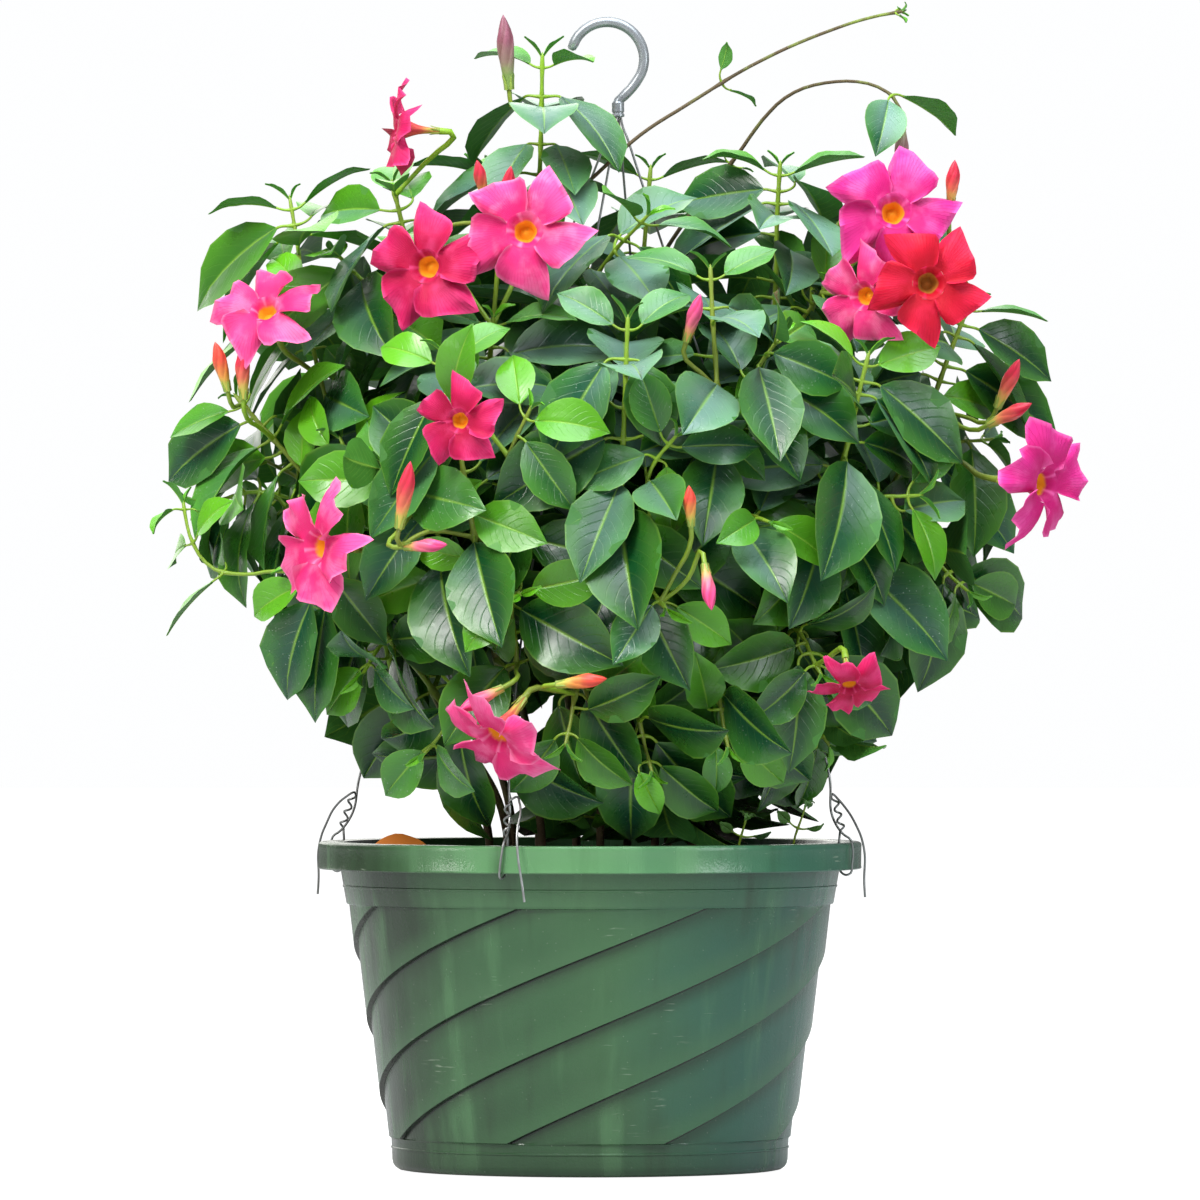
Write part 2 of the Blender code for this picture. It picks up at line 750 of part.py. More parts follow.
# A bud's size is its length
BUD_RADIUS = 4.6
BUDS = (
    Flower("bud_tall", (-51, -22, 679), (-0.08, -0.05, 1.0), 44),
    Flower("bud_top_red", (-46, -84, 588), (0.15, -0.35, 1.0), 34),
    Flower("bud_top_small", (-66, -64, 592), (-0.2, -0.3, 1.0), 24),
    Flower("bud_left_thin", (-219, -62, 486), (-0.25, -0.2, 1.0), 30),
    Flower("bud_left_red", (-203, -66, 484), (-0.02, -0.2, 1.0), 32),
    Flower("bud_long", (-103, -176, 415), (0.18, -0.25, 1.0), 40),
    Flower("bud_fat", (-82, -164, 367), (1.0, -0.3, 0.05), 26),
    Flower("bud_low", (-76, -172, 271), (-0.85, -0.3, -0.45), 30),
    Flower("bud_low_thin", (10, -184, 290), (1.0, -0.25, 0.12), 30),
    Flower("bud_orange", (57, -186, 401), (-0.05, -0.25, 1.0), 24),
    Flower("bud_hanging", (70, -190, 329), (0.15, -0.3, -1.0), 28),
    Flower("bud_pink", (64, -138, 512), (0.3, -0.4, 1.0), 30),
    Flower("bud_right_upper", (251, -60, 476), (0.45, -0.3, 1.0), 32),
    Flower("bud_right_lower", (258, -66, 450), (0.9, -0.4, 0.45), 30),
    Flower("bud_dark", (213, -70, 592), (0.1, -0.2, 1.0), 28),
    Flower("bud_arch", (184, 8, 588), (0.02, -0.05, -1.0), 30),
)


def bloom_base(flower):
    """Where the bloom's tube begins."""
    return Vector(flower.place) - Vector(flower.aim).normalized() * BLOOM_TUBE * flower.size


def bud_base(flower):
    return Vector(flower.place) - Vector(flower.aim).normalized() * flower.size


def corolla_skin(flower):
    """A narrow tube that opens into a throat and five lobes, each skewed one way."""
    aim = Vector(flower.aim).normalized()
    u = perpendicular(UP + Vector((0.3, 0.1, 0)), aim)
    v = aim.cross(u)
    base = bloom_base(flower)
    size = flower.size
    lobe = math.tau / 5

    def ring(height, reach=None, half_way=False):
        points = []
        for i in range(5):
            for share, middle, edge, lift in LOBE_COLUMNS:
                angle = flower.roll + (i + share) * lobe
                radius = reach or (middle if half_way else edge)
                rise = height if reach else height + lift * (0.5 if half_way else 1.0)
                spoke = u * math.cos(angle) + v * math.sin(angle)
                points.append(base + (aim * rise + spoke * radius) * size)
        return points

    skin = Skin()
    mouth = BLOOM_TUBE
    rings = [
        ring(0, 2.3),
        ring(18, 4.0),
        ring(mouth - 1.5, 10.6),
        ring(mouth - 2.0, half_way=True),
        ring(mouth - 1.0),
        ring(mouth - 0.4, 9.4),
    ]
    indices = [skin.add(points) for points in rings]
    skin.faces.append(tuple(reversed(indices[0])))
    for lower, upper in zip(indices, indices[1:]):
        skin.bridge(lower, upper)
    skin.fan(indices[-1], skin.add([base + aim * 17 * size])[0])
    return skin


def bud_skin(flower):
    """A furled spindle."""
    aim = Vector(flower.aim).normalized()
    u = perpendicular(Vector((1, 0.2, 0)), aim)
    v = aim.cross(u)
    base = bud_base(flower)
    girth = BUD_RADIUS * (flower.size / 30) ** 0.5
    skin = Skin()
    rings = []
    for share, wide in ((0.0, 0.42), (0.3, 0.72), (0.6, 1.0), (0.82, 0.62)):
        centre = base + aim * flower.size * share
        rings.append(skin.add(circle(centre, u, v, girth * wide, 5, share * 1.2)))
    skin.faces.append(tuple(reversed(rings[0])))
    for lower, upper in zip(rings, rings[1:]):
        skin.bridge(lower, upper)
    skin.fan(rings[-1], skin.add([Vector(flower.place)])[0])
    return skin


def node_distances(stem):
    """How far along its nodes are, where leaf pairs, shoots and stalks leave it, tip first."""
    lowest = 66 if stem.parent is None else 18
    distances = []
    distance = stem.route.length - 7
    step = 15.0
    while distance > lowest:
        distances.append(distance)
        step = min(INTERNODE, step + 11)
        distance -= step
    return distances


def stem_ring(stem, distance, spare=0.0):
    """Four corners round the stem, so that its side faces point along u, v and back."""
    point, _, u, v = stem.route.at(distance)
    return circle(point, u, v, stem.radius(distance) + spare, 4, math.radians(-45))


def ring_distances(stem, start, end):
    """Where the plain rings stand that take the tube from one distance to another."""
    room = end - start
    turn = stem.route.at(start)[1].angle(stem.route.at(end)[1])
    pieces = math.ceil(max(room / RING_STEP, turn / RING_TURN))
    return [start + room * i / pieces for i in range(1, pieces)]


def stem_skin(stem, spare, start=0.0):
    """A plain closed tube along a stem, for keeping others clear of it."""
    length = stem.route.length
    if stem.flat_end:
        distances = [start, stem.first_ring, *ring_distances(stem, stem.first_ring, length), length]
        distances = sorted({d for d in distances if d >= start})
    else:
        count = max(2, math.ceil((length - start) / 12))
        distances = [mix(start, length, i / count) for i in range(count + 1)]
    skin = Skin()
    rings = [skin.add(stem_ring(stem, distance, spare)) for distance in distances]
    skin.faces.append(tuple(reversed(rings[0])))
    for lower, upper in zip(rings, rings[1:]):
        skin.bridge(lower, upper)
    skin.faces.append(tuple(rings[-1]))
    return skin


class Plant:
    """Lays out every stem, stalk and leaf, each clear of what was there before it."""

    def __init__(self):
        self.crowd = Crowd()
        self.stems = {}
        self.leaves = []
        self.lost = []

    def clear_hanger(self):
        for name, wire in WIRES.items():
            self.crowd.add(tube(wire_points(*wire), WIRE + 0.6, 4), f"wire_{name}")
        self.crowd.add(tube(hook_points(), HOOK_TUBE + 1, 6), "hook")
        x, z = HOOK_CENTRE
        arm = [Vector((x, -HOOK_ROOM, z)), Vector((x, HOOK_ROOM, z))]
        self.crowd.add(tube(arm, HOOK_BEND - HOOK_TUBE, 8), "hook")
        wall = Skin()
        rings = [
            (0, SKIRT_BOTTOM - 30),
            (RIM_RADIUS + 0.8, SKIRT_BOTTOM - 30),
            (RIM_RADIUS + 0.8, RIM_TOP + 0.8),
            (inner_radius(RIM_TOP) - 0.8, RIM_TOP + 0.8),
            (inner_radius(RIM_TOP) - 0.8, SOIL_EDGE + 2),
            (60, SOIL_EDGE + SOIL_MOUND + 1.5),
            (1, SOIL_EDGE + SOIL_MOUND + 1.5),
        ]
        indices = []
        for radius, height in rings:
            bearings = (i * math.tau / 24 for i in range(24))
            indices.append(wall.add(rim_point(radius + 0.01, b, height) for b in bearings))
        for lower, upper in zip(indices, indices[1:]):
            wall.bridge(lower, upper)
        self.crowd.add(wall, "pot")

    def clear_flowers(self):
        for flower in BLOOMS:
            body = corolla_skin(flower)
            self.crowd.add(body, flower.name)
        for flower in BUDS:
            self.crowd.add(bud_skin(flower), flower.name)

    def grow_axes(self):
        for name, points in AXES.items():
            x, y = points[0]
            height = soil_height(x, y)
            foot = [(x, y, height - ROOT_DEPTH), (x, y, height - 5), (x, y, height + 4)]
            route = Route([*foot, *points[1:]])
            stem = Stem(name, route, STEM_THICK, name, first_ring=ROOT_DEPTH + 3)
            self.stems[name] = stem
            self.crowd.add(stem_skin(stem, STEM_CLEARANCE), name)
        for name, (foot, tip) in SEEDLINGS.items():
            height = soil_height(*foot)
            points = [(*foot, height - SEEDLING_DEPTH), (*foot, height + 3), tip]
            stem = Stem(name, Route(points, 3), SEEDLING_THICK, name)
            stem.first_ring = SEEDLING_DEPTH + 2
            self.stems[name] = stem

    def sprout(self, name, parent, share, points, thick, flat_end=False, tries=16, holds=""):
        """A side shoot or stalk, bowed aside until it is clear of what stands there, or None."""
        wanted = parent.route.length * share
        open_nodes = [d for d in node_distances(parent) if parent.free_sides(d)]
        distance = min(open_nodes, key=lambda d: abs(d - wanted))
        origin, tangent, u, v = parent.route.at(distance)
        heading = (Vector(points[0]) - origin).normalized()
        faces = (u, v, u * -1, v * -1)
        for attempt in range(tries):
            turn = attempt * 2.4
            bow = perpendicular(u * math.cos(turn) + v * math.sin(turn), heading) * 2.2 * attempt
            route_points = [Vector(point) for point in points]
            if len(points) == 2:
                route_points.insert(0, mix(origin, route_points[0], 0.5) + bow)
            else:
                route_points[len(points) // 2] += bow
            way = route_points[0] - origin
            side = max(parent.free_sides(distance), key=lambda k: faces[k].dot(way))
            start = origin + faces[side] * parent.radius(distance) * 0.7
            stem = Stem(name, Route([start, *route_points]), thick, parent.tree, parent)
            stem.flat_end = flat_end
            body = stem_skin(stem, STEM_CLEARANCE, start=min(8.0, stem.route.length * 0.3))
            if not self.crowd.hit(body, leave_out=(holds,)):
                self.stems[name] = stem
                self.crowd.add(stem_skin(stem, STEM_CLEARANCE, start=1.0), name)
                parent.children.append((distance, side, stem))
                return stem
        return None

    def grow_shoots(self):
        counts = {}
        for parent, share, tip, rise in SHOOTS:
            counts[parent] = counts.get(parent, 0) + 1
            name = f"{parent}_{counts[parent]}"
            stem = self.stems[parent]
            origin, tangent, _, _ = stem.route.at(stem.route.length * share)
            end = Vector(tip)
            near = origin + tangent * 9 + perpendicular(end - origin, tangent) * 16
            middle = mix(origin, end, 0.58) + UP * rise
            if not self.sprout(name, stem, share, [near, middle, end], SHOOT_THICK):
                self.lost.append(name)
        for vine in VINES:
            points = list(vine.points)
            for bud in BUDS:
                if bud.name == vine.bud:
                    aim = Vector(bud.aim).normalized()
                    end = bud_base(bud) - aim * GAP
                    points += [end - aim * 6, end]
            stem = self.stems[vine.stem]
            flat = bool(vine.bud)
            if not self.sprout(
                vine.name, stem, vine.share, points, VINE_THICK, flat_end=flat, holds=vine.bud
            ):
                self.lost.append(vine.name)

    def stalk_starts(self, target):
        """Stems, each with the share along it, from which a stalk may reach the target, best first."""
        starts = []
        for stem in self.stems.values():
            if stem.flat_end or stem.name in SEEDLINGS:
                continue
            for distance in node_distances(stem):
                if not stem.free_sides(distance):
                    continue
                point, tangent, _, _ = stem.route.at(distance)
                away = target - point
                backwards = max(0.0, -tangent.dot(away.normalized()))
                score = abs(away.length - 20) + 25 * backwards
                starts.append((score, len(starts), stem, distance / stem.route.length))
        return [(stem, share) for _, _, stem, share in sorted(starts)[:STALK_STARTS]]

    def grow_stalks(self):
        for flower in (*BLOOMS, *BUDS):
            if any(flower.name == vine.bud for vine in VINES):
                continue
            bloom = flower in BLOOMS
            aim = Vector(flower.aim).normalized()
            end = (bloom_base(flower) if bloom else bud_base(flower)) - aim * GAP
            points = [end - aim * 9, end]
            thick = (1.2, 2.0 if bloom else 1.5)
            name = "stalk_" + flower.name
            if not any(
                self.sprout(name, parent, share, points, thick, flat_end=True, tries=5)
                for parent, share in self.stalk_starts(end - aim * 9)
            ):
                self.lost.append(name)

    @staticmethod
    def depth(point):
        """How far out in the canopy a point is: 0 at its centre, 1 at its outside."""
        away = point - CANOPY_CENTRE
        return math.sqrt(sum((away[k] / CANOPY_SPAN[k]) ** 2 for k in range(3)))

    def leaf_spots(self, stem):
        """Each leaf pair's distance along the stem, its first side and its length, tip first."""
        given = {vine.name: vine.pairs for vine in VINES}
        given.update((name, SEEDLING_PAIRS) for name in SEEDLINGS)
        if stem.name in given:
            whole = stem.route.length
            pairs = enumerate(given[stem.name])
            return [(whole * share, i % 2, length) for i, (share, length) in pairs]
        if stem.flat_end:
            return []
        spots = []
        for order, distance in enumerate(node_distances(stem)):
            point = stem.route.at(distance)[0]
            most = 4 if stem.parent is None and point.y < FRONT_LEAVES else 3
            if order == most or self.depth(point) < BARE_DEPTH:
                break
            taken = [side for where, side, _ in stem.children if where == distance]
            turn = (taken[0] + 1) % 2 if taken else order % 2
            young = YOUNG_LEAF[order] if order < len(YOUNG_LEAF) else 1.0
            spots.append((distance, turn, LEAF_LENGTH * young))
        return spots

    def grow_leaves(self):
        for stem in list(self.stems.values()):
            for order, (distance, turn, length) in enumerate(self.leaf_spots(stem)):
                kept = {}
                for side in (turn, turn + 2):
                    leaf = self.place_leaf(stem, distance, side, order, length)
                    if leaf:
                        kept[side] = leaf
                        self.leaves.append(leaf)
                if kept:
                    stem.leaf_nodes.append((distance, kept))

    def place_leaf(self, stem, distance, side, order, length):
        """The first lie of this leaf that crosses nothing, or None."""
        rng = random.Random(f"{stem.name} {order} {side}")
        point, tangent, u, v = stem.route.at(distance)
        face = (u, v, u * -1, v * -1)[side]
        root = point + face * stem.radius(distance) * 0.7
        size = length * rng.uniform(0.86, 1.12)
        away = point - CANOPY_CENTRE
        outward = Vector([away[k] / CANOPY_SPAN[k] ** 2 for k in range(3)]).normalized()
        light = (outward * 0.8 + UP * 0.2).normalized()
        climb = (0.9, 0.6, 0.35, 0.2, 0.1)[min(order, 4)]
        droop = (0.0, 0.15, 0.35, 0.5, 0.6)[min(order, 4)] * rng.uniform(0.6, 1.3)
        low = max(0.0, min(1.0, (430 - point.z) / 200))
        droop += 0.45 * low
        lean = face + tangent * climb
        lean = lean - light * lean.dot(light) * 0.45 - UP * droop
        lean.normalize()
        swing = rng.choice((-1, 1))
        label = f"leaf {stem.name}"
        own = [label] + [other.name for other in self.stems.values() if other.tree == stem.tree]
        for attempt in range(LEAF_TRIES):
            turn = swing * (-1) ** attempt * math.radians(11) * ((attempt + 1) // 2)
            shrink = 1 - 0.018 * attempt
            along = self.turned(lean, light, turn)
            along = (along - UP * 0.06 * (attempt % 3)).normalized()
            petiole_way = (face * 1.1 + along * 0.7 + tangent * 0.25).normalized()
            if along.dot(face) < -0.35:
                continue
            base = root + petiole_way * PETIOLE * rng.uniform(0.85, 1.35) * (0.6 + 0.4 * size / 66)
            normal = perpendicular(light + Vector([rng.uniform(-0.25, 0.25) for _ in range(3)]), along)
            leaf = Leaf(
                stem,
                root,
                face,
                base,
                along,
                normal,
                size * shrink,
                size * shrink * LEAF_WIDTH * rng.uniform(0.92, 1.08),
                math.radians(rng.uniform(14, 46)),
                math.radians(rng.uniform(6, 22)),
            )
            body = leaf_body(leaf)
            neck = tube([root, mix(root, base, 0.7)], NECK, 4)
            if not self.crowd.hit(body) and not self.crowd.hit(neck, own):
                self.crowd.add(body, label)
                self.crowd.add(neck, label)
                return leaf
        return None

    @staticmethod
    def turned(vector, axis, angle):
        cos, sin = math.cos(angle), math.sin(angle)
        return vector * cos + axis.cross(vector) * sin + axis * axis.dot(vector) * (1 - cos)

    def lay_out(self):
        self.clear_hanger()
        self.grow_axes()
        self.clear_flowers()
        self.grow_shoots()
        self.grow_stalks()
        self.grow_leaves()


# The stems' skins


def aligned(quad_points, ring_points):
    """The ring started from the corner that lies nearest to the quad's first."""

    def stretch(shift):
        return sum(
            (quad_points[j] - ring_points[(j + shift) % 4]).length_squared for j in range(4)
        )

    shift = min(range(4), key=stretch)
    return [ring_points[(j + shift) % 4] for j in range(4)]


def grow_leaf_skin(skin, leaf, quad):
    rings, tip = leaf_rings(leaf)
    corners = [skin.points[i] for i in quad]
    first = aligned(corners, rings[0])
    shift = rings[0].index(first[0])
    last = quad
    for ring in rings:
        turned = [ring[(j + shift) % 4] for j in range(4)]
        indices = skin.add(turned)
        skin.bridge(last, indices)
        last = indices
    skin.fan(last, skin.add([tip])[0])


def grow_stem_skin(skin, stem, quad=None):
    """The stem's tube with what leaves its sides, drawn out of the quad if there is one."""
    length = stem.route.length
    nodes = {}
    for distance, leaves in stem.leaf_nodes:
        nodes[distance] = {side: ("leaf", leaf) for side, leaf in leaves.items()}
    for distance, side, child in stem.children:
        nodes.setdefault(distance, {})[side] = ("stem", child)
    marks = []
    for distance, node in sorted(nodes.items()):
        marks.append((distance - NODE_HALF, None))
        marks.append((distance + NODE_HALF, node))
    marks.append((length, None))
    before = stem.first_ring
    first = stem_ring(stem, before)
    if quad:
        last = skin.add(aligned([skin.points[i] for i in quad], first))
        shift = next(j for j in range(4) if (first[j] - skin.points[last[0]]).length < 1e-6)
        skin.bridge(quad, last)
    else:
        foot = skin.add(stem_ring(stem, 0))
        skin.faces.append(tuple(reversed(foot)))
        last = skin.add(first)
        shift = 0
        skin.bridge(foot, last)
    plain = []
    for distance, node in marks:
        plain += [(between, None) for between in ring_distances(stem, before, distance)]
        plain.append((distance, node))
        before = distance
    jobs = []
    for distance, node in plain:
        ring = stem_ring(stem, distance)
        ring = skin.add([ring[(j + shift) % 4] for j in range(4)])
        skipped = set()
        for side, (kind, child) in (node or {}).items():
            j = (side - shift) % 4
            skipped.add(j)
            corner = (last[j], last[(j + 1) % 4], ring[(j + 1) % 4], ring[j])
            jobs.append((kind, child, corner))
        skin.bridge(last, ring, skipped)
        last = ring
    if stem.flat_end:
        skin.faces.append(tuple(last))
    else:
        point, tangent, _, _ = stem.route.at(length)
        skin.fan(last, skin.add([point + tangent * 4])[0])
    for kind, child, corner in jobs:
        if kind == "leaf":
            grow_leaf_skin(skin, child, corner)
        else:
            grow_stem_skin(skin, child, corner)


def fallen_leaf():
    """A dead leaf that lies on the mix against the inside of the rim."""
    base = Vector((*FALLEN_BASE, 0))
    tip = Vector((*FALLEN_TIP, 0))
    along = (tip - base + UP * 9).normalized()
    length = (tip - base).length
    normal = perpendicular(UP, along)
    leaf = Leaf(None, base, along, base, along, normal, length, length * 0.5, -0.35, 0.1)
    rings, end = leaf_rings(leaf)
    points = [point for ring in rings for point in ring] + [end]
    rise = max(soil_height(point.x, point.y) - point.z for point in points) + GAP
    leaf.base = leaf.base + UP * rise
    return leaf


def fallen_skin():
    rings, tip = leaf_rings(fallen_leaf())
    skin = Skin()
    indices = [skin.add(ring) for ring in rings]
    skin.faces.append(tuple(reversed(indices[0])))
    for lower, upper in zip(indices, indices[1:]):
        skin.bridge(lower, upper)
    skin.fan(indices[-1], skin.add([tip])[0])
    return skin


def build_plant(plant):
    for name in AXES:
        skin = Skin()
        grow_stem_skin(skin, plant.stems[name])
        put("stem_" + name, skin, (0.035, 0.13, 0.045), 0.3, sharp=60)
    for name in SEEDLINGS:
        skin = Skin()
        grow_stem_skin(skin, plant.stems[name])
        put(name, skin, (0.12, 0.26, 0.06), 0.5, sharp=60)
    put("fallen_leaf", fallen_skin(), (0.42, 0.16, 0.05), 0.7, sharp=60)
    for flower in BLOOMS:
        put(flower.name, corolla_skin(flower), (0.83, 0.06, 0.25), 0.5, sharp=60)
    for flower in BUDS:
        put(flower.name, bud_skin(flower), (0.75, 0.05, 0.12), 0.45, sharp=60)


def build_soil():
    soil = put("soil", soil_skin(), (0.045, 0.028, 0.018), 0.95, sharp=30)
    holes = []
    for name, points in AXES.items():
        x, y = points[0]
        depth = soil_height(x, y) - ROOT_DEPTH - GAP
        holes.append(peg(Vector((x, y, 0)), STEM_THICK[0] + 0.5, depth, 200))
    for foot, _ in SEEDLINGS.values():
        depth = soil_height(*foot) - SEEDLING_DEPTH - GAP
        holes.append(peg(Vector((*foot, 0)), SEEDLING_THICK[0] + 0.4, depth, 200))
    cut(soil, holes)


def build_wires():
    for name, wire in WIRES.items():
        put(f"wire_{name}", tube(wire_points(*wire), WIRE, 4), (0.45, 0.46, 0.46), 0.35, 0.9)


def main():
    for obj in list(bpy.data.objects):
        bpy.data.objects.remove(obj)
    plant = Plant()
    plant.lay_out()
    build_pot()
    build_soil()
    build_hook()
    build_wires()
    build_plant(plant)
    print(f"{len(plant.leaves)} leaves, left out: {', '.join(plant.lost) or 'none'}")


main()
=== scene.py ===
"""Dresses a mandevilla in its hanging pot: leaves, blooms, buds, pot, potting mix and hanger.

Lengths are in millimetres until a piece goes into the scene in metres. +Z is up, the front is -Y,
and the origin is the middle of the pot's underside. A bearing is an angle from the front, positive
to the right. The plant is laid out by the same seeded rules as its plain solids, so every fine
piece lies where the solid that it stands for lies.
"""

import json
import logging
import math
import random
from collections.abc import Iterable, Sequence
from dataclasses import dataclass, field
from enum import IntEnum
from typing import Any

import bpy
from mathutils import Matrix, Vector
from mathutils.bvhtree import BVHTree
from mathutils.kdtree import KDTree

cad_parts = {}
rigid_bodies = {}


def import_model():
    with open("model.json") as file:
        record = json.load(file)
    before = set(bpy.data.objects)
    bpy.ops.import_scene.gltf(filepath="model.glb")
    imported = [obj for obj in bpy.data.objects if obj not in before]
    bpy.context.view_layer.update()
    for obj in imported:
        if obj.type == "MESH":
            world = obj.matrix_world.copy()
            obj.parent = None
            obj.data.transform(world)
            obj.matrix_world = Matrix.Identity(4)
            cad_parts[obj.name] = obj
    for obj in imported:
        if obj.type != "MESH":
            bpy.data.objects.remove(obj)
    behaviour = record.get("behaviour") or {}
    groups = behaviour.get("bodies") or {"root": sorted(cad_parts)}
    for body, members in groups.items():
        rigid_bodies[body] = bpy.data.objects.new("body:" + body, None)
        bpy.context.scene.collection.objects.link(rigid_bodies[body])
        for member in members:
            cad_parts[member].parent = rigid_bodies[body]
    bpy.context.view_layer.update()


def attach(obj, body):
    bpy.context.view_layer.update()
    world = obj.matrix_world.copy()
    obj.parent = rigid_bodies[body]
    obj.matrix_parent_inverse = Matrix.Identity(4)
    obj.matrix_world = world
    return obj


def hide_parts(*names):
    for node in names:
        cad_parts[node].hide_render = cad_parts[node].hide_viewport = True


LOG = logging.getLogger("mandevilla")
METRES = 0.001
GAP = 0.3
UP = Vector((0, 0, 1))
PLANT_MIDDLE = Vector((0.0, 0.0, 0.35))

Colour = tuple[float, float, float]
Table = tuple[tuple[float, ...], ...]
Ring = list[Vector]
Socket = bpy.types.NodeSocket


def rim_point(radius: float, bearing: float, height: float) -> Vector:
    """A point at this bearing round the pot's axis."""
    return Vector((radius * math.sin(bearing), -radius * math.cos(bearing), height))


def mix(a: Any, b: Any, share: float) -> Any:
    """The number or point this share of the way from a to b."""
    return a + (b - a) * share


def ease(value: float, low: float, high: float) -> float:
    """0 below low, 1 above high and a smooth step between."""
    t = min(1.0, max(0.0, (value - low) / (high - low)))
    return t * t * (3 - 2 * t)


def along_table(table: Sequence[tuple[float, float]], where: float) -> float:
    """The value at where, read from (place, value) pairs in rising order."""
    for (a, low), (b, high) in zip(table, table[1:]):
        if where <= b:
            return mix(low, high, max(0.0, (where - a) / (b - a)))
    return table[-1][1]


def perpendicular(vector: Vector, axis: Vector) -> Vector:
    """The unit part of vector at right angles to axis."""
    left = vector - axis * vector.dot(axis)
    if left.length < 1e-4:
        left = axis.orthogonal()
    return left.normalized()


def spoke(u: Vector, v: Vector, angle: float) -> Vector:
    """The direction at this angle, which turns from u to v."""
    return u * math.cos(angle) + v * math.sin(angle)


def circle(
    centre: Vector, u: Vector, v: Vector, radius: float, sides: int, turn: float = 0.0
) -> Ring:
    """A ring that turns anticlockwise from u to v."""
    angles = (turn + math.tau * i / sides for i in range(sides))
    return [centre + spoke(u, v, angle) * radius for angle in angles]


class Skin:
    """A mesh in the making, with what its finishes read at each point.

    lay says where a point is on its own leaf, petal or bud; tone holds its age, luck and painted
    shade.
    """

    def __init__(self) -> None:
        """Starts with nothing."""
        self.points: list[Vector] = []
        self.faces: list[tuple[int, ...]] = []
        self.finishes: list[int] = []
        self.lays: list[Sequence[float]] = []
        self.tones: list[Sequence[float]] = []
        self.finish = 0
        self.tone: Sequence[float] = (0.0, 0.0, 0.0)

    def add(
        self, points: Iterable[Any], lays: Sequence[Sequence[float]] | None = None
    ) -> list[int]:
        """Adds points.

        Args:
            points: The points to add.
            lays: Where each lies on its own leaf, petal or bud.

        Returns:
            The points' numbers.
        """
        start = len(self.points)
        self.points.extend(Vector(point) for point in points)
        count = len(self.points) - start
        self.lays.extend(lays or [(0.0, 0.0, 0.0)] * count)
        self.tones.extend([self.tone] * count)
        return list(range(start, start + count))

    def face(self, *corners: int) -> None:
        """One face in the finish that is in hand."""
        self.faces.append(corners)
        self.finishes.append(self.finish)

    def bridge(self, lower: Sequence[int], upper: Sequence[int]) -> None:
        """The side faces between two rings, anticlockwise seen from the upper end."""
        count = len(lower)
        for i in range(count):
            j = (i + 1) % count
            self.face(lower[i], lower[j], upper[j], upper[i])

    def fan(self, ring: Sequence[int], tip: int) -> None:
        """Closes a ring to one point."""
        for i in range(len(ring)):
            self.face(ring[i], ring[(i + 1) % len(ring)], tip)

    def cap(self, ring: Sequence[int], point: int | None = None) -> None:
        """Closes a ring flat, or to one point."""
        if point is None:
            self.face(*ring)
        else:
            self.fan(ring, point)

    def loft(
        self, rings: Sequence[list[int]], foot: int | None = None, tip: int | None = None
    ) -> None:
        """Joins rings into a closed body.

        Args:
            rings: The rings, from the foot to the tip.
            foot: The point that closes the foot, or None for a flat end.
            tip: The point that closes the tip, or None for a flat end.
        """
        self.cap(rings[0][::-1], foot)
        for lower, upper in zip(rings, rings[1:]):
            self.bridge(lower, upper)
        self.cap(rings[-1], tip)

    def tree(self) -> BVHTree:
        """The tree that finds where this skin crosses another."""
        return BVHTree.FromPolygons(self.points, self.faces)

    def put(
        self, name: str, finishes: Sequence[bpy.types.Material], sharp: float
    ) -> bpy.types.Object:
        """Makes the skin an object of the scene, in metres.

        Args:
            name: The piece's name.
            finishes: The materials that its faces name by number.
            sharp: The angle in degrees past which an edge shows.

        Returns:
            The new object.
        """
        mesh = bpy.data.meshes.new(name)
        mesh.from_pydata([point * METRES for point in self.points], [], self.faces)
        for label, values in (("lay", self.lays), ("tone", self.tones)):
            layer = mesh.attributes.new(label, "FLOAT_VECTOR", "POINT")
            layer.data.foreach_set("vector", [number for value in values for number in value])
        for material in finishes:
            mesh.materials.append(material)
        mesh.polygons.foreach_set("material_index", self.finishes)
        mesh.shade_smooth()
        mesh.set_sharp_from_angle(angle=math.radians(sharp))
        obj = bpy.data.objects.new(name, mesh)
        bpy.context.scene.collection.objects.link(obj)
        return obj


def fit_piece(obj: bpy.types.Object, slot: str, *nodes: str) -> bpy.types.Object:
    """Seats a piece in the frame.

    Args:
        obj: The piece, already in place.
        slot: The record's material slot; not used.
        nodes: The plain solids that it stands for.

    Returns:
        The piece.
    """
    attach(obj, "root")
    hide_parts(*nodes)
    LOG.info("%s: %d faces for %s", obj.name, len(obj.data.polygons), ", ".join(nodes))
    return obj


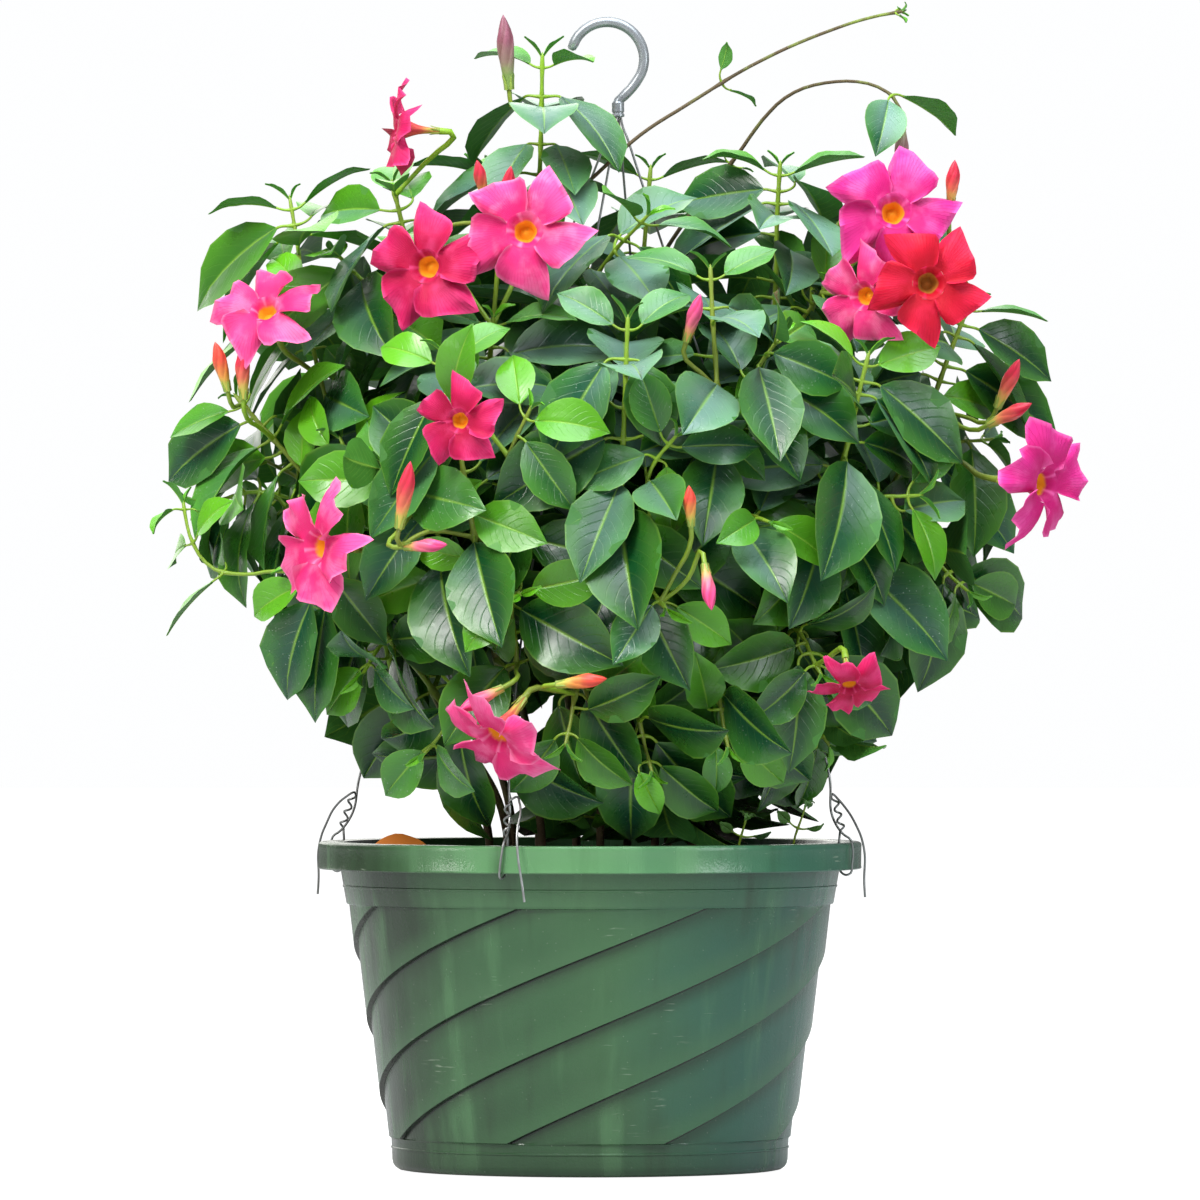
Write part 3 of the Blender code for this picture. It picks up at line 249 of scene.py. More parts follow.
class Route:
    """A smooth curve through given points, with a frame that turns as little as it can."""

    def __init__(self, controls: Iterable[Any], step: float = 9.0) -> None:
        """Smooths the curve and carries the frame along it.

        Args:
            controls: The points that the curve goes through.
            step: The space between the points that stand for it.
        """
        self.points = self.smoothed([Vector(point) for point in controls], step)
        self.reach = [0.0]
        for a, b in zip(self.points, self.points[1:]):
            self.reach.append(self.reach[-1] + (b - a).length)
        self.length = self.reach[-1]
        self.frames = self.transported()

    @staticmethod
    def smoothed(controls: Ring, step: float) -> Ring:
        """A curve through the controls, whose slope at each leans to its shorter side.

        Args:
            controls: The points to go through.
            step: The space wanted between points.

        Returns:
            The curve's points.
        """
        spans = [(b - a).length for a, b in zip(controls, controls[1:])]
        slopes = [(b - a) / span for a, b, span in zip(controls, controls[1:], spans)]
        tangents = [slopes[0]]
        for i in range(1, len(spans)):
            whole = spans[i - 1] + spans[i]
            tangents.append((slopes[i - 1] * spans[i] + slopes[i] * spans[i - 1]) / whole)
        tangents.append(slopes[-1])
        points = [controls[0]]
        for i, span in enumerate(spans):
            pieces = max(1, round(span / step))
            for k in range(1, pieces + 1):
                t = k / pieces
                start = controls[i] + (tangents[i] * span) * t * (1 - t)
                end = controls[i + 1] - (tangents[i + 1] * span) * t * (1 - t)
                points.append(mix(start, end, t * t * (3 - 2 * t)))
        return points

    def transported(self) -> list[tuple[Vector, Vector]]:
        """The direction of growth and one side direction at each point."""
        last = len(self.points) - 1
        frames = []
        side = Vector((1, 0, 0))
        for i in range(last + 1):
            tangent = (self.points[min(i + 1, last)] - self.points[max(i - 1, 0)]).normalized()
            side = perpendicular(side, tangent)
            frames.append((tangent, side))
        return frames

    def at(self, distance: float) -> tuple[Vector, Vector, Vector, Vector]:
        """The point, the direction of growth and the two side directions at this distance."""
        distance = min(max(distance, 0.0), self.length)
        i = 0
        while i < len(self.reach) - 2 and self.reach[i + 1] < distance:
            i += 1
        share = (distance - self.reach[i]) / (self.reach[i + 1] - self.reach[i])
        point = mix(self.points[i], self.points[i + 1], share)
        tangent = mix(self.frames[i][0], self.frames[i + 1][0], share).normalized()
        u = perpendicular(mix(self.frames[i][1], self.frames[i + 1][1], share), tangent)
        return point, tangent, u, tangent.cross(u)


def tube(points: Ring, radii: Any, sides: int, skin: Skin | None = None) -> Skin:
    """A closed tube through the points.

    Args:
        points: The points along its axis.
        radii: Its radius, or one radius for each point.
        sides: How many sides it has.
        skin: The skin to add it to, or None for a new one.

    Returns:
        The skin that holds it.
    """
    skin = skin or Skin()
    side = Vector((0, 1, 0))
    last = len(points) - 1
    rings = []
    walked = 0.0
    for i, point in enumerate(points):
        tangent = (points[min(i + 1, last)] - points[max(i - 1, 0)]).normalized()
        side = perpendicular(side, tangent)
        radius = radii[i] if isinstance(radii, list) else radii
        walked += (point - points[max(i - 1, 0)]).length
        lays = [(k / sides, walked / 100, 0.0) for k in range(sides)]
        rings.append(skin.add(circle(point, side, tangent.cross(side), radius, sides), lays))
    skin.loft(rings)
    return skin


# Shader building


class Shade:
    """Lays the nodes of one material or one group, and joins them."""

    def __init__(self, tree: bpy.types.NodeTree) -> None:
        """Works in this node tree."""
        self.tree = tree

    def node(self, kind: str, **settings: Any) -> bpy.types.Node:
        """A new node with these settings."""
        made = self.tree.nodes.new(kind)
        for name, value in settings.items():
            setattr(made, name, value)
        return made

    def feed(self, socket: Socket, value: Any) -> None:
        """Joins an output to a socket, or sets the socket to a number or a colour."""
        if isinstance(value, Socket):
            self.tree.links.new(value, socket)
        elif isinstance(value, tuple) and socket.type == "RGBA":
            socket.default_value = (*value, 1.0)
        else:
            socket.default_value = value

    def sum(self, kind: str, a: Any, b: Any = 0.0, clamp: bool = False) -> Socket:
        """One step of arithmetic on two numbers."""
        made = self.node("ShaderNodeMath", operation=kind, use_clamp=clamp)
        self.feed(made.inputs[0], a)
        self.feed(made.inputs[1], b)
        return made.outputs[0]

    def plus(self, a: Any, b: Any, clamp: bool = False) -> Socket:
        """The sum of a and b, kept from 0 to 1 with clamp."""
        return self.sum("ADD", a, b, clamp)

    def minus(self, a: Any, b: Any, clamp: bool = False) -> Socket:
        """The difference of a and b, kept from 0 to 1 with clamp."""
        return self.sum("SUBTRACT", a, b, clamp)

    def times(self, a: Any, b: Any, clamp: bool = False) -> Socket:
        """The product of a and b, kept from 0 to 1 with clamp."""
        return self.sum("MULTIPLY", a, b, clamp)

    def size(self, a: Any) -> Socket:
        """The size of a, without its sign."""
        return self.sum("ABSOLUTE", a)

    def split(self, vector: Any) -> Socket:
        """The three numbers of a vector."""
        made = self.node("ShaderNodeSeparateXYZ")
        self.feed(made.inputs[0], vector)
        return made.outputs

    def step(self, value: Any, low: float, high: float, start: Any = 0.0, end: Any = 1.0) -> Any:
        """A smooth step from start below low to end above high."""
        made = self.node("ShaderNodeMapRange", interpolation_type="SMOOTHSTEP")
        for socket, fed in zip(made.inputs, (value, low, high, start, end)):
            self.feed(socket, fed)
        return made.outputs[0]

    def blend(self, share: Any, a: Any, b: Any, kind: str = "MIX") -> Socket:
        """Two colours mixed by a share."""
        made = self.node("ShaderNodeMix", data_type="RGBA", blend_type=kind)
        self.feed(made.inputs[0], share)
        self.feed(made.inputs[6], a)
        self.feed(made.inputs[7], b)
        return made.outputs[2]

    def place(self) -> Socket:
        """The point's place in the part, in metres."""
        return self.node("ShaderNodeTexCoord").outputs["Object"]

    def stored(self, name: str) -> tuple[Any, Any, Any, Any]:
        """A stored value as a vector and as its three numbers."""
        vector = self.node("ShaderNodeAttribute", attribute_name=name).outputs["Vector"]
        return vector, *self.split(vector)

    def noise(self, scale: Any, detail: float, where: Any = None) -> Socket:
        """Cloudy noise from 0 to 1."""
        made = self.node("ShaderNodeTexNoise")
        self.feed(made.inputs["Vector"], where or self.place())
        self.feed(made.inputs["Scale"], scale)
        made.inputs["Detail"].default_value = detail
        return made.outputs[0]

    def stretched(self, x: float, y: float, z: float, where: Any = None) -> Any:
        """The place in the part with each axis scaled."""
        made = self.node("ShaderNodeMapping")
        self.feed(made.inputs["Vector"], where or self.place())
        made.inputs["Scale"].default_value = (x, y, z)
        return made.outputs[0]

    def group(self, source: bpy.types.NodeTree, **values: Any) -> Any:
        """Places a group and returns its outputs."""
        made = self.node("ShaderNodeGroup", node_tree=source)
        for name, value in values.items():
            self.feed(made.inputs[name.replace("_", " ")], value)
        return made.outputs

    def bump(self, height: Any, strength: float, depth: float, normal: Any = None) -> Any:
        """A normal bent by a height, with depth in metres."""
        made = self.node("ShaderNodeBump")
        made.inputs["Strength"].default_value = strength
        made.inputs["Distance"].default_value = depth
        self.feed(made.inputs["Height"], height)
        if normal:
            self.feed(made.inputs["Normal"], normal)
        return made.outputs[0]


class Material(Shade):
    """One named material, with its Principled shader in hand."""

    def __init__(self, name: str) -> None:
        """Makes the material."""
        self.material = bpy.data.materials.new(name)
        self.material.use_nodes = True
        super().__init__(self.material.node_tree)
        self.shader = self.tree.nodes["Principled BSDF"]

    def set(self, **values: Any) -> None:
        """Feeds the shader's sockets, named with _ for a space."""
        for name, value in values.items():
            self.feed(self.shader.inputs[name.replace("_", " ")], value)


class Effects:
    """The effects that several materials share, each a group built once."""

    def __init__(self) -> None:
        """Builds every group."""
        self.mottle = self.build_mottle()
        self.dust = self.build_dust()
        self.veins = self.build_veins()
        self.specks = self.build_specks()

    @staticmethod
    def start(name: str, inputs: dict[str, float], outputs: dict[str, str]) -> Any:
        """Begins a group.

        Args:
            name: The group's name.
            inputs: Its inputs, with the value that each starts from. None is a vector.
            outputs: Its outputs and the kind of each.

        Returns:
            The node layer, the group's input sockets by name and its output node.
        """
        tree = bpy.data.node_groups.new(name, "ShaderNodeTree")
        for label, value in inputs.items():
            kind = "NodeSocketVector" if value is None else "NodeSocketFloat"
            socket = tree.interface.new_socket(label, in_out="INPUT", socket_type=kind)
            if value is not None:
                socket.default_value = value
        for label, kind in outputs.items():
            tree.interface.new_socket(label, in_out="OUTPUT", socket_type=kind)
        work = Shade(tree)
        given = work.node("NodeGroupInput").outputs
        return work, given, work.node("NodeGroupOutput")

    def build_mottle(self) -> bpy.types.NodeTree:
        """Soft patches from 0 to 1, at a scale and a contrast."""
        work, given, out = self.start(
            "mottle", {"Scale": 40.0, "Contrast": 0.6}, {"Patches": "NodeSocketFloat"}
        )
        cloud = work.noise(given["Scale"], 4.0)
        spread = work.times(work.minus(cloud, 0.5), given["Contrast"])
        work.feed(out.inputs[0], work.plus(work.times(spread, 4.0), 0.5, True))
        return work.tree

    def build_dust(self) -> bpy.types.NodeTree:
        """Dust that lies on what faces up, broken by noise."""
        work, given, out = self.start(
            "settled dust", {"Scale": 60.0, "Cover": 0.5}, {"Dust": "NodeSocketFloat"}
        )
        upward = work.split(work.node("ShaderNodeNewGeometry").outputs["Normal"])[2]
        facing = work.step(upward, -0.1, 0.9, 0.25, 1.0)
        broken = work.step(work.noise(given["Scale"], 5.0), 0.42, 0.72)
        amount = work.times(work.times(facing, broken), given["Cover"], True)
        work.feed(out.inputs[0], amount)
        return work.tree

    def build_veins(self) -> bpy.types.NodeTree:
        """The midrib and the side veins of a blade, from where a point lies on it."""
        work, given, out = self.start(
            "blade veins",
            {"Lay": None, "Pairs": 9.0, "Lean": 3.0, "Line": 0.16},
            {"Rib": "NodeSocketFloat", "Veins": "NodeSocketFloat"},
        )
        offset, along, _ = work.split(given["Lay"])
        across = work.size(offset)
        side_half = work.times(work.sum("GREATER_THAN", offset, 0.0), 0.45)
        climb = work.times(work.sum("POWER", across, 1.3), given["Lean"])
        phase = work.minus(work.times(along, given["Pairs"]), climb)
        phase = work.sum("FRACT", work.plus(phase, work.plus(side_half, 10.0)))
        away = work.times(work.size(work.minus(phase, 0.5)), 2.0)
        line = work.minus(1.0, work.sum("DIVIDE", away, given["Line"]), True)
        fade = work.step(across, 0.55, 0.95, 1.0, 0.0)
        work.feed(out.inputs[1], work.times(line, fade))
        wide = work.step(along, 0.0, 1.0, 0.085, 0.05)
        rib = work.minus(1.0, work.sum("DIVIDE", across, wide), True)
        work.feed(out.inputs[0], rib)
        return work.tree

    def build_specks(self) -> bpy.types.NodeTree:
        """Small scattered specks of dried spray or grit."""
        work, given, out = self.start(
            "specks", {"Scale": 420.0, "Rare": 0.7}, {"Specks": "NodeSocketFloat"}
        )
        cells = work.node("ShaderNodeTexVoronoi")
        work.feed(cells.inputs["Vector"], work.place())
        work.feed(cells.inputs["Scale"], given["Scale"])
        luck = work.split(cells.outputs["Color"])[0]
        chosen = work.sum("GREATER_THAN", luck, given["Rare"])
        dot = work.step(cells.outputs["Distance"], 0.12, 0.24, 1.0, 0.0)
        work.feed(out.inputs[0], work.times(chosen, dot))
        return work.tree


# Finishes


@dataclass(frozen=True)
class Finish:
    """What every finish shares: its name, and how its material is made."""

    name: str

    def lay(self, made: Material, effects: Effects) -> None:
        """Lays the material's nodes.

        Args:
            made: The material.
            effects: The shared groups.
        """
        raise NotImplementedError

    def material(self, effects: Effects) -> bpy.types.Material:
        """The material, with its nodes laid."""
        made = Material(self.name)
        self.lay(made, effects)
        return made.material


@dataclass(frozen=True)
class BladeFinish(Finish):
    """The glossy face, paler back and pale veins of a leaf, with painted sheen and painted shade.
    """

    young: Colour
    mature: Colour
    # Painted sheen: a bluish colour that some leaves take at random
    sheen: Colour
    under: Colour
    rib: Colour
    # Painted sky reflection: the colour that grown, high leaves take where they face up
    sky_sheen: Colour = (0.2, 0.35, 0.28)
    shade_tint: Colour = (0.75, 0.78, 1.0)
    patch_tint: Colour = (0.5, 0.62, 0.5)
    speck: Colour = (0.5, 0.6, 0.5)
    roughness: float = 0.27
    speckled: float = 0.4

    def lay(self, made: Material, effects: Effects) -> None:
        """Lays this finish's nodes.

        Args:
            made: The material.
            effects: The shared groups.
        """
        lay, across, _, side = made.stored("lay")
        _, age, luck, low = made.stored("tone")
        veins = made.group(effects.veins, Lay=lay)
        patches = made.group(effects.mottle, Scale=55.0, Contrast=0.45)[0]
        ripe = made.step(age, 0.12, 0.62)
        grown = made.blend(ripe, self.young, self.mature)
        # Painted sheen: some leaves, at random, take the bluish sheen colour
        grown = made.blend(made.step(luck, 0.45, 1.0, 0.0, 0.7), grown, self.sheen)
        # Painted shade: low leaves are darker and bluer
        grown = made.blend(low, grown, self.shade_tint, "MULTIPLY")
        dark = made.blend(made.times(patches, 0.6), grown, self.patch_tint, "MULTIPLY")
        # Painted sky reflection: grown, high leaves that face up take a pale bluish sheen
        upward = made.split(made.node("ShaderNodeNewGeometry").outputs["Normal"])[2]
        cloud = made.plus(upward, made.times(luck, 0.3))
        sky_sheen_share = made.times(made.step(cloud, 0.55, 1.1, 0.0, 0.8), made.minus(1.0, low))
        dark = made.blend(made.times(sky_sheen_share, ripe), dark, self.sky_sheen)
        outward = made.step(made.size(across), 0.15, 0.9, 0.0, 0.22)
        dark = made.blend(outward, dark, self.young)
        edge = made.step(made.size(across), 0.92, 1.0, 0.0, 0.3)
        face = made.blend(edge, dark, self.rib)
        face = made.blend(made.times(veins[1], 0.045), face, self.rib)
        face = made.blend(made.times(veins[0], 0.6), face, self.rib)
        back = made.blend(made.times(age, 0.5), self.under, grown)
        back = made.blend(made.times(veins[1], 0.3), back, self.rib)
        back = made.blend(veins[0], back, self.rib)
        upper = made.step(side, -0.05, 0.05)
        colour = made.blend(upper, back, face)
        specks = made.group(effects.specks, Scale=520.0, Rare=0.8)[0]
        lucky = made.step(luck, 0.45, 0.85, 0.0, self.speckled)
        specks = made.times(made.times(specks, lucky), upper)
        colour = made.blend(specks, colour, self.speck)
        rough = made.step(patches, 0.0, 1.0, self.roughness - 0.06, self.roughness + 0.12)
        rough = made.plus(rough, made.step(upper, 0.0, 1.0, 0.24, 0.0))
        height = made.minus(1.0, made.times(veins[1], 0.28))
        height = made.minus(height, made.times(veins[0], 1.0))
        pores = made.times(made.noise(1500.0, 2.0), 0.05)
        height = made.plus(height, pores)
        height = made.plus(height, made.times(made.noise(130.0, 2.0), 0.9))
        made.set(
            Base_Color=colour,
            Roughness=rough,
            Normal=made.bump(height, 0.55, 0.0005),
            Specular_IOR_Level=0.5,
        )


@dataclass(frozen=True)
class StemFinish(Finish):
    """Green shoots that turn to brown bark as they age."""

    shoot: Colour
    bark: Colour
    olive: Colour = (0.23, 0.2, 0.05)
    grain_tint: Colour = (0.55, 0.5, 0.4)
    pore: Colour = (0.45, 0.42, 0.27)

    def lay(self, made: Material, effects: Effects) -> None:
        """Lays this finish's nodes.

        Args:
            made: The material.
            effects: The shared groups.
        """
        _, age, luck, _ = made.stored("tone")
        patches = made.group(effects.mottle, Scale=90.0, Contrast=0.8)[0]
        worn = made.plus(age, made.times(made.minus(patches, 0.5), 0.35))
        green = made.blend(made.times(luck, 0.6), self.shoot, self.olive)
        colour = made.blend(made.step(worn, 0.35, 0.85), green, self.bark)
        grain = made.noise(900.0, 3.0, made.stretched(1.0, 1.0, 0.18))
        colour = made.blend(made.times(grain, 0.5), colour, self.grain_tint, "MULTIPLY")
        pores = made.group(effects.specks, Scale=520.0, Rare=0.6)[0]
        colour = made.blend(made.times(pores, 0.45), colour, self.pore)
        height = made.plus(grain, made.times(pores, 0.8))
        made.set(
            Base_Color=colour,
            Roughness=made.step(worn, 0.2, 0.9, 0.42, 0.8),
            Normal=made.bump(height, 0.5, 0.0004),
        )


@dataclass(frozen=True)
class PetalFinish(Finish):
    """Soft petals round a glowing throat."""

    petal: Colour
    deep: Colour
    pale: Colour
    throat: Colour = (0.9, 0.3, 0.01)
    eye: Colour = (0.95, 0.43, 0.02)
    tube_foot: Colour = (0.5, 0.5, 0.08)
    tube_top: Colour = (0.8, 0.1, 0.08)
    stripe: Colour = (0.4, 0.01, 0.03)

    def lay(self, made: Material, effects: Effects) -> None:
        """Lays this finish's nodes.

        Args:
            made: The material.
            effects: The shared groups.
        """
        _, across, out, side = made.stored("lay")
        patches = made.group(effects.mottle, Scale=70.0, Contrast=0.5)[0]
        body = made.blend(made.step(out, 0.1, 0.95), self.deep, self.petal)
        body = made.blend(made.step(patches, 0.4, 0.9, 0.0, 0.45), body, self.pale)
        # Painted shade: a darker band along one side of each lobe
        shaded = made.step(made.size(made.minus(across, -0.75)), 0.0, 0.6, 0.75, 0.0)
        body = made.blend(shaded, body, self.deep)
        rays = made.plus(made.times(across, 11.0), made.noise(110.0, 2.0))
        rays = made.size(made.sum("SINE", made.times(rays, math.pi)))
        rays = made.times(made.step(rays, 0.0, 0.45, 1.0, 0.0), 0.38)
        body = made.blend(rays, body, self.deep)
        rim = made.step(made.sum("MAXIMUM", out, made.size(across)), 0.86, 1.0, 0.0, 0.55)
        body = made.blend(rim, body, self.pale)
        ragged = made.plus(out, made.times(made.noise(300.0, 3.0), 0.07))
        mouth = made.step(ragged, -0.2, -0.12)
        glow = made.blend(made.step(out, -0.45, -0.22), self.throat, self.eye)
        inside = made.blend(mouth, glow, body)
        tube_back = made.blend(made.step(out, -0.85, -0.5), self.tube_foot, self.tube_top)
        stripes = made.times(made.step(made.size(across), 0.6, 1.0), 0.6)
        tube_back = made.blend(stripes, tube_back, self.stripe)
        tube_back = made.blend(made.step(out, -0.45, 0.0), tube_back, self.petal)
        pale_body = made.blend(0.35, body, self.pale)
        outside = made.blend(made.step(out, -0.02, 0.1), tube_back, pale_body)
        colour = made.blend(made.step(side, -0.05, 0.05), outside, inside)
        crinkle = made.plus(made.noise(160.0, 3.0), made.times(rays, 1.2))
        made.set(
            Base_Color=colour,
            Roughness=made.step(patches, 0.0, 1.0, 0.5, 0.66),
            Normal=made.bump(crinkle, 0.5, 0.0007),
            Specular_IOR_Level=0.25,
            Sheen_Weight=0.03,
            Sheen_Roughness=0.4,
        )


@dataclass(frozen=True)
class BudFinish(Finish):
    """Furled petals, red at the tip over a yellow-green base."""

    tip: Colour
    middle: Colour
    base: Colour
    furrow_shade_tint: Colour = (0.5, 0.34, 0.3)

    def lay(self, made: Material, effects: Effects) -> None:
        """Lays this finish's nodes.

        Args:
            made: The material.
            effects: The shared groups.
        """
        _, _, up, furrow = made.stored("lay")
        patches = made.group(effects.mottle, Scale=120.0, Contrast=0.6)[0]
        ragged = made.plus(up, made.times(made.minus(patches, 0.5), 0.14))
        colour = made.blend(made.step(ragged, 0.12, 0.42), self.base, self.middle)
        colour = made.blend(made.step(ragged, 0.36, 0.72), colour, self.tip)
        # Painted shade: darker in the spiral furrows, by their depth
        dark = made.times(made.step(furrow, 0.3, 1.0), 0.6)
        colour = made.blend(dark, colour, self.furrow_shade_tint, "MULTIPLY")
        made.set(
            Base_Color=colour,
            Roughness=made.step(patches, 0.0, 1.0, 0.38, 0.52),
            Normal=made.bump(made.noise(260.0, 3.0), 0.35, 0.0004),
            Sheen_Weight=0.05,
        )


@dataclass(frozen=True)
class PlasticFinish(Finish):
    """Satin moulded plastic with dust and scuffs, with painted shadow and highlight along its
    steps.
    """

    name: str = "pot_green_plastic"
    colour: Colour = (0.026, 0.088, 0.032)
    # A paler green, for paler patches at random and for the painted highlight before each step
    worn: Colour = (0.052, 0.14, 0.054)
    # A light green, for lighter streaks and for the painted highlight on the band and the rim
    light: Colour = (0.14, 0.33, 0.14)
    teal: Colour = (0.016, 0.092, 0.07)
    # Brown-green: darker towards the bottom, darker streaks, and painted shade on the left side and
    # just past each step
    brown: Colour = (0.014, 0.027, 0.012)
    dust: Colour = (0.34, 0.4, 0.3)
    # Near black, for painted shadow along each step's drop, painted shade inside the pot and under
    # the rim, and a foot darker towards the bottom
    painted_shade_black: Colour = (0.003, 0.006, 0.003)

    def lay(self, made: Material, effects: Effects) -> None:
        """Lays this finish's nodes.

        Args:
            made: The material.
            effects: The shared groups.
        """
        _, dark, step_share, inside = made.stored("lay")
        patches = made.group(effects.mottle, Scale=9.0, Contrast=0.6)[0]
        streaks = made.noise(34.0, 5.0, made.stretched(1.0, 1.0, 0.1))
        place, _, height = made.split(made.place())
        wander = made.times(made.minus(patches, 0.5), 0.06)
        sideways = made.plus(place, wander)
        colour = made.blend(patches, self.colour, self.worn)
        for value, low, high, start, end, over in (
            (height, 0.0, 0.15, 0.35, 0.0, self.brown),
            # Painted highlight: the band above the swirl and the rim are lighter
            (height, 0.156, 0.1585, 0.0, 0.22, self.light),
            (height, 0.1765, 0.1785, 0.0, 0.66, self.light),
            (sideways, 0.01, 0.12, 0.0, 0.8, self.teal),
            # Painted shade: the left side of the pot is browner and darker
            (sideways, -0.14, -0.05, 0.9, 0.0, self.brown),
            (streaks, 0.52, 0.7, 0.0, 0.3, self.light),
            (streaks, 0.28, 0.46, 0.5, 0.0, self.brown),
        ):
            colour = made.blend(made.step(value, low, high, start, end), colour, over)
        fine = made.group(effects.specks, Scale=410.0, Rare=0.93)[0]
        dusty = made.group(effects.dust, Scale=30.0, Cover=0.05)[0]
        dusty = made.plus(dusty, made.times(fine, 0.12), True)
        scratch = made.noise(240.0, 2.0, made.stretched(0.25, 0.25, 2.2))
        rubbed = made.step(made.noise(21.0, 3.0), 0.56, 0.7)
        scratch = made.times(made.step(scratch, 0.62, 0.72, 0.0, 0.5), rubbed)
        dusty = made.plus(dusty, scratch, True)
        # Painted highlight along each panel's proud edge before its step, and painted shade on the
        # recessed panel just past it
        colour = made.blend(made.step(step_share, 0.6, 0.97, 0.0, 0.45), colour, self.worn)
        colour = made.blend(made.step(step_share, 0.03, 0.3, 0.4, 0.0), colour, self.brown)
        colour = made.blend(dusty, colour, self.dust)
        # Painted shadow along each step's drop, and the foot darker towards the bottom, broken by
        # streaks
        foot = made.step(height, 0.002, 0.03, 0.6, 0.0)
        step_shadow_and_dark_foot = made.plus(made.times(dark, 0.88), made.times(foot, streaks), True)
        colour = made.blend(step_shadow_and_dark_foot, colour, self.painted_shade_black)
        # Painted shade inside the pot and under the rim's skirt
        colour = made.blend(made.times(inside, 0.8), colour, self.painted_shade_black)
        rough = made.step(streaks, 0.3, 0.75, 0.17, 0.3)
        rough = made.plus(rough, made.times(dusty, 0.35), True)
        surface = made.plus(made.noise(700.0, 3.0), made.times(streaks, 8.0))
        made.set(
            Base_Color=colour,
            Roughness=rough,
            Normal=made.bump(surface, 0.25, 0.0006),
            Specular_IOR_Level=0.5,
        )


@dataclass(frozen=True)
class MixFinish(Finish):
    """Damp potting mix, its bark chips and its pale grains."""

    dark: Colour
    light: Colour
    grain: float = 420.0

    def lay(self, made: Material, effects: Effects) -> None:
        """Lays this finish's nodes.

        Args:
            made: The material.
            effects: The shared groups.
        """
        _, _, luck, _ = made.stored("tone")
        crumbs = made.noise(self.grain, 6.0)
        patches = made.group(effects.mottle, Scale=60.0, Contrast=0.9)[0]
        colour = made.blend(made.step(crumbs, 0.35, 0.7), self.dark, self.light)
        colour = made.blend(made.times(patches, 0.6), colour, self.dark)
        colour = made.blend(made.times(luck, 0.5), colour, self.light)
        made.set(
            Base_Color=colour,
            Roughness=made.step(patches, 0.0, 1.0, 0.72, 0.95),
            Normal=made.bump(crumbs, 0.9, 0.0016),
        )


@dataclass(frozen=True)
class MetalFinish(Finish):
    """Dull metal, or grey satin plastic, with spots and rubbed places."""

    bright: Colour
    dull: Colour
    metallic: float
    roughness: float
    dust: Colour = (0.33, 0.32, 0.29)

    def lay(self, made: Material, effects: Effects) -> None:
        """Lays this finish's nodes.

        Args:
            made: The material.
            effects: The shared groups.
        """
        patches = made.group(effects.mottle, Scale=160.0, Contrast=0.4)[0]
        dusty = made.group(effects.dust, Scale=220.0, Cover=0.12)[0]
        drawn = made.noise(700.0, 3.0, made.stretched(1.0, 1.0, 0.12))
        colour = made.blend(patches, self.bright, self.dull)
        colour = made.blend(made.times(drawn, 0.35), colour, self.dull)
        colour = made.blend(dusty, colour, self.dust)
        rough = made.step(patches, 0.0, 1.0, self.roughness - 0.08, self.roughness + 0.16)
        made.set(
            Base_Color=colour,
            Metallic=self.metallic,
            Roughness=made.plus(rough, made.times(dusty, 0.3), True),
            Normal=made.bump(made.plus(drawn, patches), 0.25, 0.0002),
        )


# Pot


